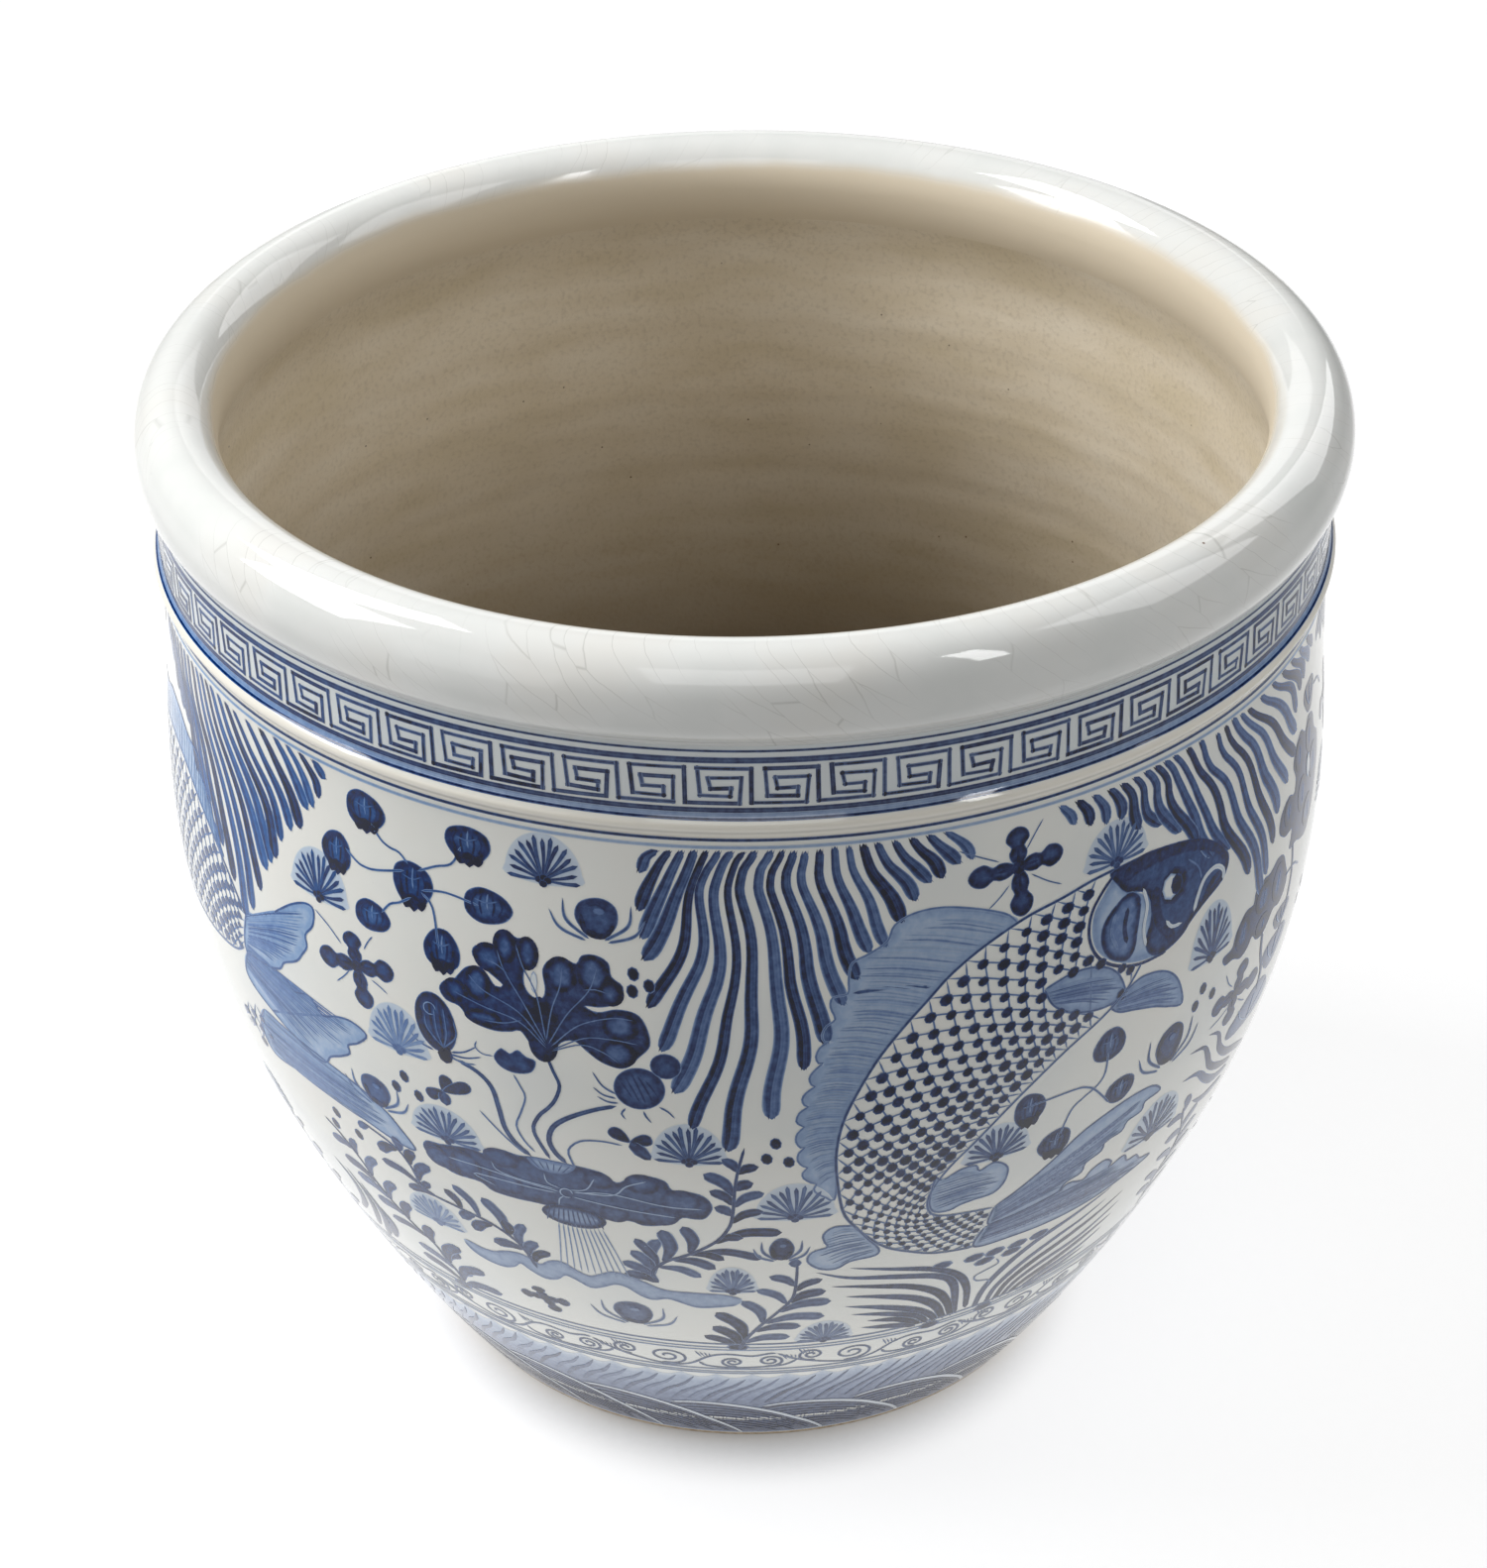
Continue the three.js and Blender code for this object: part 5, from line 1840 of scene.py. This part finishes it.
# The fins of the second carp, in the same way
SECOND_FINS = (
    (SECOND_DORSAL, ((-58, 278), (-63, 290), (-69, 299), (-76, 299), (-87, 281)),
     ((-60, 292), (-64, 309), (-70, 316), (-78, 313), (-86, 294)), 0.24, 0.56, 40),
    (SECOND_TAIL_TOP, ((-54.3, 262), (-54.2, 255), (-54.8, 248)), ((-43.5, 287), (-44.5, 270), (-49, 250)),
     0.24, 0.62, 22),
    (SECOND_TAIL_LOW, ((-54.8, 248), (-55.5, 242), (-56, 234)), ((-38, 243), (-40, 230), (-46, 215)), 0.24,
     0.62, 24),
    (SECOND_LOW_FIN, ((-54, 217), (-55.5, 206), (-55, 195)), ((-40, 211), (-36, 201), (-38, 192)), 0.24,
     0.62, 22),
)


def fin(coats, outline, root, ends, load, edge_load, lines):
    """A fin: a pale wash with a darker edge, and brushed rays of changing strength from its root."""
    fill(coats.wash, outline, load, load * 1.3, 1.6)
    stroke(coats.line, (*outline, outline[0]), 1.0, edge_load + 0.16, over=load * 0.4, step=2.0)
    root_line = smooth(root, 0.5)
    end_line = smooth(ends, 0.5)
    chance = np.random.default_rng(lines)
    for i in range(lines):
        share = (i + 0.5) / lines
        a = root_line[round(share * (len(root_line) - 1))]
        b = end_line[round(share * (len(end_line) - 1))]
        points = (a, a + 0.5 * (b - a) + (0, 1.2), a + chance.uniform(0.82, 0.97) * (b - a))
        width = chance.uniform(0.6, 1.5)
        dark = edge_load * chance.uniform(0.6, 1.2)
        stroke(coats.line, points, (0.6 * width, width, 0.5 * width), dark, over=load, step=4.0, tips=(1, 6))


# Room between scales, in millimetres, at which their dots have their full size
FULL_ROOM = 4.3


def scales(coats, back, belly, columns, rows, middle, hidden=(), load=0.96):
    """Carp scales between the back and the belly: crossed lines, with a dot in each mesh."""
    back_line = smooth(flat(back, middle), 1.0)
    belly_line = smooth(flat(belly, middle), 1.0)

    def spot(u, v):
        share = np.clip(u, 0, 1)
        a = back_line[round(share * (len(back_line) - 1))]
        b = belly_line[round(share * (len(belly_line) - 1))]
        return a + v * (b - a)

    def shown(place):
        return not any(is_inside(np.asarray(outline, float), place[None])[0] for outline in hidden)

    slant = rows / columns / 2
    for lean in (1, -1):
        for i in range(-rows, columns + rows):
            line = []
            for v in np.linspace(0, 1, rows + 1):
                u = i / columns + lean * slant * v
                place = unflat(spot(u, v)[None], middle)[0]
                if 0 <= u <= 1 and shown(place):
                    line.append(place)
                if len(line) > 1 and (v == 1 or not (0 <= u <= 1 and shown(place))):
                    stroke(coats.line, line, 0.8, 0.66, step=5.0)
                    line = []
    chance = np.random.default_rng(columns)
    for j in range(1, rows):
        v = j / rows
        for i in range(-rows, columns):
            u = (i + 0.14 + 0.5 * j) / columns
            here = spot(u, v)
            place = unflat(here[None], middle)[0]
            if 0.01 < u < 0.99 and shown(place):
                ahead = spot(min(1, u + 0.02), v) - here
                tilt = math.degrees(math.atan2(ahead[1], ahead[0])) - 90
                gaps = (spot(u, v - 1 / rows) - here, spot(u - 1 / columns, v) - here)
                room = min(np.hypot(*gap) for gap in gaps)
                size = chance.uniform(0.86, 1.12) * min(1.0, max(0.6, room / FULL_ROOM))
                dot(coats.light, place, 4.4 * size, 5.2 * size, load, tilt=tilt, over=0.3)


# Brow, cheek, lip, eye ring and gill line, then the light streaks: coat, width, load and points
HEAD_STROKES = (
    ("line", (6, 7, 5, 5, 4, 3), 0.9,
     ((35.8, 308), (37, 312), (41, 311.5), (45, 307.5), (48, 300.5), (49.6, 293))),
    ("line", 5, 0.92, ((39.5, 300), (39.5, 292), (40, 284), (41.5, 276), (41.5, 272))),
    ("line", (1.5, 3, 2), 0.95, ((46, 282), (47, 287), (48.6, 290))),
    ("line", 2, 0.92, ((36.1, 297), (35.7, 289), (36, 282))),
    ("line", 1.3, 0.86,
     ((34.8, 314), (33, 307), (31.9, 300), (31.7, 291), (32.6, 282), (34.6, 275), (37.5, 270.6),
      (41, 269.8))),
    ("light", 2, 0.46, ((34.7, 297), (34.2, 289), (35, 281))),
    ("light", 0.9, 0.46, ((43.7, 304), (45.2, 298), (45.7, 292))),
    ("light", 2.1, 0.04, ((44.6, 280), (45.2, 286), (46.2, 291.5), (47.8, 293), (49, 289.5), (49, 285))),
    ("light", 1.6, 0.04, ((40.8, 283.5), (41.6, 279.5), (43, 278.5))),
    ("light", 1.6, 0.04, ((37.9, 302), (38.4, 294), (38, 285), (38.3, 277))),
)


def carp_head(coats, carry):
    """The head in profile, carried from the place of the first carp's to another by carry."""
    fill(coats.wash, carry(CARP_CHEEK_WASH), 0.24, 0.4, 2.0)
    fill(coats.body, carry(CARP_HEAD), 0.74, 0.93, 1.8)
    fill(coats.body, carry(CARP_GILL_PLATE), 0.5, 0.9, 1.5)
    for coat, width, load, points in HEAD_STROKES:
        stroke(getattr(coats, coat), carry(points), width, load, over=0.7, step=2.0)
    dot(coats.line, carry(((41.9, 296.3),))[0], 15.5, 15.5, 0.98, over=0.74)
    dot(coats.light, carry(((41.4, 296.6),))[0], 9.0, 11.0, 0.04, over=0.6)
    dot(coats.dark, carry(((42.2, 296.4),))[0], 6.4, 8.8, 1.0, over=0.6)


def carp():
    coats = Coats("carp")
    fin(coats, CARP_DORSAL, DORSAL_ROOT, DORSAL_EDGE, 0.26, 0.45, 90)
    stroke(coats.line, ((9, 291), (12.5, 291.3), (16, 289)), 1.4, 0.8, over=0.4, step=2.0)
    for outline, root, ends in CARP_PECTORALS:
        fin(coats, outline, root, ends, 0.3, 0.6, 12)
    for outline, root, ends, load, edge_load, lines in CARP_FINS:
        fin(coats, outline, root, ends, load, edge_load, lines)
    stroke(coats.line, ((24.3, 160.5), (28, 162), (33, 166)), (1.6, 1.6, 1.0), 0.88, over=0.4, step=2.0)
    hidden = (CARP_CHEEK, *(outline for outline, _, _ in CARP_PECTORALS))
    scales(coats, CARP_BACK, CARP_BELLY, 28, 11, 20, hidden)
    stroke(coats.line, CARP_BACK, 1.3, 0.9, step=3.0)
    stroke(coats.line, CARP_BELLY, 1.1, 0.8, step=3.0)
    dot(coats.line, (35.7, 260.5), 6, 6, 0.98)
    carp_head(coats, lambda points: np.asarray(points, float))
    second_carp(coats)
    coats.finish()


def second_carp(coats):
    """The carp at the left, seen from its tail; its head lies at the edge of what the photo shows."""

    def carry(points):
        places = np.asarray(points, float)
        return np.column_stack((-86.5 - (places[:, 0] - 35) * 0.64, 262 + (places[:, 1] - 292) * 0.92))

    pectorals = [[carry(line) for line in lines] for lines in CARP_PECTORALS]
    for outline, root, ends, load, edge_load, lines in SECOND_FINS[:-1]:
        fin(coats, outline, root, ends, load, edge_load, lines)
    stroke(coats.line, ((-52, 222), (-46, 234), (-42, 242)), (1.2, 1.2, 0.8), 0.62, over=0.4, step=2.0)
    fin(coats, *SECOND_FINS[-1])
    hidden = (carry(CARP_CHEEK), *(outline for outline, _, _ in pectorals))
    scales(coats, SECOND_BACK, SECOND_BELLY, 17, 10, -71, hidden, 0.76)
    # The root of the tail shows again below the body
    tail_root = (((-54, 218), (-57, 214), (-60, 206)), ((-54, 196), (-57, 195), (-60, 197)))
    scales(coats, *tail_root, 3, 3, -57, load=0.76)
    for outline, root, ends in pectorals:
        fin(coats, outline, root, ends, 0.34, 0.7, 12)
    stroke(coats.line, SECOND_BACK, 1.3, 0.9, step=3.0)
    stroke(coats.line, SECOND_BELLY, 1.1, 0.8, step=3.0)
    dot(coats.line, (-57, 193.5), 5, 5, 0.96)
    carp_head(coats, carry)


# Pieces of the body

def bowl_body():
    white = clear_glaze_on_porcelain()
    buff = thin_buff_glaze()
    bare = bare_turned_porcelain()
    inner_foot = FOOT_RADIUS - FOOT_RING_WIDTH
    heel_level = FLOOR_LEVEL + HEEL_RADIUS
    floor_radius = float(wall_radius(heel_level) - wall_thickness(heel_level)) - HEEL_RADIUS
    wall_seat = FLOOR_LEVEL - FLOOR_REBATE_DEPTH
    seat_radius = float(wall_radius(wall_seat))

    foot = turned("turned_foot", [
        straight((inner_foot + FOOT_EDGE_BEVEL, 0), (FOOT_RADIUS - FOOT_EDGE_BEVEL, 0)),
        straight((FOOT_RADIUS - FOOT_EDGE_BEVEL, 0), (float(wall_radius(FOOT_EDGE_BEVEL)), FOOT_EDGE_BEVEL)),
        run_of(wall_radius, FOOT_EDGE_BEVEL, GLAZE_END),
        run_of(wall_radius, GLAZE_END, FOOT_TOP),
        straight((float(wall_radius(FOOT_TOP)), FOOT_TOP), (inner_foot, FOOT_TOP)),
        straight((inner_foot, FOOT_TOP), (inner_foot, FOOT_EDGE_BEVEL)),
        straight((inner_foot, FOOT_EDGE_BEVEL), (inner_foot + FOOT_EDGE_BEVEL, 0)),
    ], [bare, bare, bare, white, white, bare, bare])
    place_piece(foot, "foot_ring")

    floor = turned("thrown_floor", [
        straight((0, FOOT_TOP), (inner_foot, FOOT_TOP), (float(wall_radius(FOOT_TOP)), FOOT_TOP)),
        run_of(wall_radius, FOOT_TOP, wall_seat),
        straight((seat_radius, wall_seat), (floor_radius, wall_seat)),
        straight((floor_radius, wall_seat), (floor_radius, FLOOR_LEVEL)),
        straight((floor_radius, FLOOR_LEVEL), (0, FLOOR_LEVEL)),
    ], [bare, white, white, buff, buff])
    place_piece(floor, "floor_disc")

    inner_seam = float(inner_radius(SEAM_LEVEL))
    heel = arc((floor_radius, heel_level), HEEL_RADIUS, HEEL_RADIUS, 0, -math.pi / 2, HEEL_STEPS)
    inside = run_of(inner_radius, SEAM_LEVEL, heel_level)
    heel[0] = inside[-1]
    lower = turned("lower_wall_ring", [
        run_of(wall_radius, wall_seat, SEAM_LEVEL),
        straight((float(wall_radius(SEAM_LEVEL)), SEAM_LEVEL), (inner_seam, SEAM_LEVEL)),
        np.vstack((inside, heel[1:])),
        straight((floor_radius, FLOOR_LEVEL), (floor_radius, wall_seat)),
        straight((floor_radius, wall_seat), (seat_radius, wall_seat)),
    ], [white, white, buff, buff, white])
    place_piece(lower, "lower_wall")

    inner_top = float(inner_radius(UPPER_WALL_TOP))
    upper = turned("upper_wall_ring", [
        run_of(wall_radius, SEAM_LEVEL, UPPER_WALL_TOP),
        straight((NECK_RADIUS, UPPER_WALL_TOP), (inner_top, UPPER_WALL_TOP)),
        run_of(inner_radius, UPPER_WALL_TOP, SEAM_LEVEL),
        straight((inner_seam, SEAM_LEVEL), (float(wall_radius(SEAM_LEVEL)), SEAM_LEVEL)),
    ], [white, white, buff, white])
    place_piece(upper, "upper_wall")

    # Inside the mouth the roll runs down smoothly into the wall, with no hollow under it
    inner_edge = RIM_CENTRE_RADIUS - RIM_HALF_WIDTH
    seat_drop = RIM_CENTRE_LEVEL - RIM_SEAT
    rim_inner_seat = inner_edge + RIM_LEAN
    ease = 2 * RIM_LEAN / seat_drop * (RIM_SEAT - UPPER_WALL_TOP) / (inner_top - rim_inner_seat)

    def collar_inside(level):
        share = (level - UPPER_WALL_TOP) / (RIM_SEAT - UPPER_WALL_TOP)
        lean = (rim_inner_seat - inner_top) * share**ease
        return inner_top + lean + 0.5 * throwing_ring(level) * (1 - share)

    inner_top_collar = collar_inside(np.array(UPPER_WALL_TOP))
    collar = turned("neck_ring", [
        run_of(wall_radius, UPPER_WALL_TOP, RIM_SEAT),
        straight((NECK_RADIUS, RIM_SEAT), (rim_inner_seat, RIM_SEAT)),
        run_of(collar_inside, RIM_SEAT, UPPER_WALL_TOP),
        straight((float(inner_top_collar), UPPER_WALL_TOP), (NECK_RADIUS, UPPER_WALL_TOP)),
    ], [white, white, buff, white])
    place_piece(collar, "neck_collar")

    rib_low = RIB_LEVEL - RIB_HALF_HEIGHT
    rib_top = RIB_LEVEL + RIB_HALF_HEIGHT
    up = np.linspace(rib_low, rib_top, RIB_POINTS)
    rib = turned("raised_rib", [
        np.column_stack((painted_radius(up), up)),
        straight((NECK_RADIUS, rib_top), (NECK_RADIUS, rib_low)),
    ], [white, white])
    place_piece(rib, "shoulder_rib")

    rim_glaze = thick_glaze_on_rim()
    roll = arc(
        (RIM_CENTRE_RADIUS, RIM_CENTRE_LEVEL), RIM_HALF_WIDTH, RIM_HALF_HEIGHT, -RIM_SEAT_TURN, math.pi,
        ROLL_STEPS,
    )
    roll[0] = (NECK_RADIUS, RIM_SEAT)
    drop = np.linspace(0, 1, ROLL_DROP_POINTS)[1:]
    lean = np.column_stack((inner_edge + RIM_LEAN * drop**2, RIM_CENTRE_LEVEL - seat_drop * drop))
    roll = np.vstack((roll, lean))
    rim = turned("rolled_rim_ring", [
        roll,
        straight((rim_inner_seat, RIM_SEAT), (NECK_RADIUS, RIM_SEAT)),
    ], [rim_glaze, rim_glaze])
    place_piece(rim, "rolled_rim")


# Stage

LAMP_AIM = Vector((0, 0, 0.25))
LAMP_DISTANCE = 2.2
# Soft boxes: degrees to the right of the front and up, width and height in metres, and watts
LAMPS = {
    "key_left": (-85, 34, (0.95, 0.95), 25),
    "key_left_high": (-105, 52, (0.75, 1.0), 29),
    "window_right": (43, 38, (0.2, 0.8), 5),
    "front_top": (0, 42, (1.1, 1.1), 7),
    "left_front": (-45, 14, (1.1, 1.1), 2.5),
    "right": (90, 42, (1.1, 1.1), 10),
    "back": (180, 16, (1.1, 1.1), 3.5),
    "back_right": (135, 31, (1.1, 1.1), 8),
}
WORLD_STRENGTH = 0.03
# The picture's longer side in pixels, and how far its middle lies beside the bowl's
PICTURE_HEIGHT = 1582
PICTURE_SHIFT = -3.3


def add_lamp(name, azimuth, elevation, size, power):
    """A soft box aimed at the bowl."""
    light = bpy.data.lights.new(name, "AREA")
    light.shape = "RECTANGLE"
    light.size, light.size_y = size
    light.energy = power
    made = bpy.data.objects.new(name, light)
    bearing = math.radians(azimuth)
    up = math.radians(elevation)
    way = Vector((math.sin(bearing) * math.cos(up), -math.cos(bearing) * math.cos(up), math.sin(up)))
    made.location = LAMP_AIM + LAMP_DISTANCE * way
    made.rotation_euler = (-way).to_track_quat("-Z", "Y").to_euler()
    bpy.context.scene.collection.objects.link(made)


def white_sweep():
    """White glass table lit from below: it stays white in the picture and keeps the shadow faint."""
    material, tree = new_material("lit_white_table")
    place = node(tree, "ShaderNodeTexCoord").outputs["Object"]
    fibres = node(tree, "ShaderNodeTexNoise", {"Scale": 1 / (4 * MM), "Detail": 2.0}, {"Vector": place})
    colour = node(
        tree, "ShaderNodeValToRGB", {"stops": ((0.3, linear("#9f9f9f")), (0.7, linear("#a3a3a3")))},
        {"Fac": fibres.outputs["Fac"]},
    ).outputs["Color"]
    bump = node(
        tree, "ShaderNodeBump", {"Strength": 0.1, "Distance": 0.05 * MM}, {"Height": fibres.outputs["Fac"]}
    )
    surface = finish_surface(tree, colour, bump.outputs["Normal"], 0.9)
    surface.inputs["Emission Color"].default_value = linear("#ffffff")
    # The lit part ends a little outside the picture, as a table does, so that the sides of the
    # bowl mirror less of it. Its width grows with the distance from the camera.
    parts = node(tree, "ShaderNodeSeparateXYZ", {}, {0: place}).outputs
    lit = node(
        tree, "ShaderNodeMapRange",
        {
            "interpolation_type": "SMOOTHSTEP", "From Min": -0.45, "From Max": -0.27, "To Min": 0.1,
            "To Max": 0.76,
        },
        {"Value": parts["Y"]},
    )
    half = node(tree, "ShaderNodeMath", {"operation": "ABSOLUTE"}, {0: parts["X"]}).outputs[0]
    beyond = node(
        tree, "ShaderNodeMath", {"operation": "MULTIPLY_ADD", 1: -0.19}, {0: parts["Y"], 2: half}
    ).outputs[0]
    across = node(
        tree, "ShaderNodeMapRange",
        {"interpolation_type": "SMOOTHSTEP", "From Min": 0.8, "From Max": 0.4, "To Min": 0.22},
        {"Value": beyond},
    )
    # Painted contact shadow: next to the foot, and most in front of it, the table's glow is dimmed to stand
    # in for the shadow of the bowl
    moved = node(tree, "ShaderNodeVectorMath", {"operation": "ADD", 1: (0, 0.022, 0)}, {0: place}).outputs[0]
    reach = node(tree, "ShaderNodeVectorMath", {"operation": "LENGTH"}, {0: moved}).outputs["Value"]
    clear = node(
        tree, "ShaderNodeMapRange",
        {"interpolation_type": "SMOOTHSTEP", "From Min": 0.1, "From Max": 0.148, "To Min": 0.1},
        {"Value": reach},
    )
    strength = node(
        tree, "ShaderNodeMath", {"operation": "MULTIPLY"}, {0: lit.outputs[0], 1: across.outputs[0]}
    )
    strength = node(
        tree, "ShaderNodeMath", {"operation": "MULTIPLY"}, {0: strength.outputs[0], 1: clear.outputs[0]}
    )
    tree.links.new(strength.outputs[0], surface.inputs["Emission Strength"])
    return material


def build_stage():
    scene = bpy.context.scene
    stage = scene.stage_settings
    half = stage.floor_half / MM
    corners = [(-half, -half, 0), (half, -half, 0), (half, half, 0), (-half, half, 0)]
    floor = new_object("paper_floor", corners, [(0, 1, 2, 3)])
    floor.data.materials.append(white_sweep())

    world = bpy.data.worlds.new("soft_studio")
    world.use_nodes = True
    background = world.node_tree.nodes["Background"]
    background.inputs["Color"].default_value = linear("#ffffff")
    background.inputs["Strength"].default_value = WORLD_STRENGTH
    scene.world = world

    for name, lamp in LAMPS.items():
        add_lamp(name, *lamp)

    camera = bpy.data.cameras.new("camera")
    camera.lens = stage.focal_length
    camera.sensor_width = 36
    camera.shift_x = PICTURE_SHIFT / PICTURE_HEIGHT
    camera.clip_start = 0.05
    camera.clip_end = 50
    made = bpy.data.objects.new("camera", camera)
    level = stage.aim_level + stage.distance * math.sin(stage.pitch)
    place = Vector((0, -stage.distance * math.cos(stage.pitch), level))
    tilt = Matrix.Rotation(math.pi / 2 - stage.pitch, 4, "X")
    roll = Matrix.Rotation(stage.roll, 4, "Z")
    made.matrix_world = Matrix.Translation(place) @ tilt @ roll
    scene.collection.objects.link(made)
    scene.camera = made
    scene.view_settings.view_transform = "Standard"
    scene.view_settings.look = "None"


# Operators, panel and the run

class BuildBody(bpy.types.Operator):
    """Turns the foot, floor, walls, collar, rib and rim"""

    bl_idname = "bowl.body"
    bl_label = "Turn the body"

    def execute(self, context):
        bowl_body()
        return {"FINISHED"}


class PaintFret(bpy.types.Operator):
    """Paints the fret border and the lines of the neck"""

    bl_idname = "bowl.fret"
    bl_label = "Paint the fret border"

    def execute(self, context):
        fret_border()
        return {"FINISHED"}


class PaintWeed(bpy.types.Operator):
    """Paints the water weed that hangs from the shoulder"""

    bl_idname = "bowl.weed"
    bl_label = "Paint the hanging weed"

    def execute(self, context):
        hanging_weed()
        return {"FINISHED"}


class PaintFloating(bpy.types.Operator):
    """Paints the duckweed, shells, snails, butterflies and dots, and the plants of the hidden side"""

    bl_idname = "bowl.floating"
    bl_label = "Paint the floating motifs"

    def execute(self, context):
        floating_motifs()
        return {"FINISHED"}


class PaintLotus(bpy.types.Operator):
    """Paints the lotus on the long leaf and the lotus at the right"""

    bl_idname = "bowl.lotus"
    bl_label = "Paint the lotus"

    def execute(self, context):
        lotus_group()
        right_lotus()
        return {"FINISHED"}


class PaintPond(bpy.types.Operator):
    """Paints the bottom of the pond"""

    bl_idname = "bowl.pond"
    bl_label = "Paint the pond bottom"

    def execute(self, context):
        pond_bottom()
        return {"FINISHED"}


class PaintCarp(bpy.types.Operator):
    """Paints both carp"""

    bl_idname = "bowl.carp"
    bl_label = "Paint the carp"

    def execute(self, context):
        carp()
        return {"FINISHED"}


class PaintScroll(bpy.types.Operator):
    """Paints the scroll border"""

    bl_idname = "bowl.scroll"
    bl_label = "Paint the scroll border"

    def execute(self, context):
        scroll_border()
        return {"FINISHED"}


class PaintFootLeaves(bpy.types.Operator):
    """Paints the leaf border round the foot"""

    bl_idname = "bowl.foot_leaves"
    bl_label = "Paint the leaf border"

    def execute(self, context):
        foot_leaves()
        return {"FINISHED"}


class BuildStage(bpy.types.Operator):
    """Sets the white floor, the soft lights and the camera"""

    bl_idname = "bowl.stage"
    bl_label = "Set the stage"

    def execute(self, context):
        build_stage()
        return {"FINISHED"}


OPERATORS = (
    BuildBody, PaintFret, PaintWeed, PaintFloating, PaintLotus, PaintPond, PaintCarp,
    PaintScroll, PaintFootLeaves, BuildStage,
)


class BowlPanel(bpy.types.Panel):
    """Lists the steps that build the bowl"""

    bl_idname = "VIEW3D_PT_fish_bowl"
    bl_label = "Fish bowl"
    bl_space_type = "VIEW_3D"
    bl_region_type = "UI"
    bl_category = "Fish bowl"

    def draw(self, context):
        for operator in OPERATORS:
            self.layout.operator(operator.bl_idname)
        for group in (context.scene.bowl_settings, context.scene.stage_settings):
            for name in group.__annotations__:
                self.layout.prop(group, name)


CLASSES = (BowlSettings, StageSettings, *OPERATORS, BowlPanel)


def register():
    for each in CLASSES:
        bpy.utils.register_class(each)
    bpy.types.Scene.bowl_settings = PointerProperty(type=BowlSettings)
    bpy.types.Scene.stage_settings = PointerProperty(type=StageSettings)


def unregister():
    del bpy.types.Scene.stage_settings
    del bpy.types.Scene.bowl_settings
    for each in reversed(CLASSES):
        bpy.utils.unregister_class(each)


def main():
    register()
    for operator in OPERATORS:
        group, name = operator.bl_idname.split(".")
        getattr(getattr(bpy.ops, group), name)()
    bpy.context.view_layer.update()


if __name__ == "__main__":
    main()
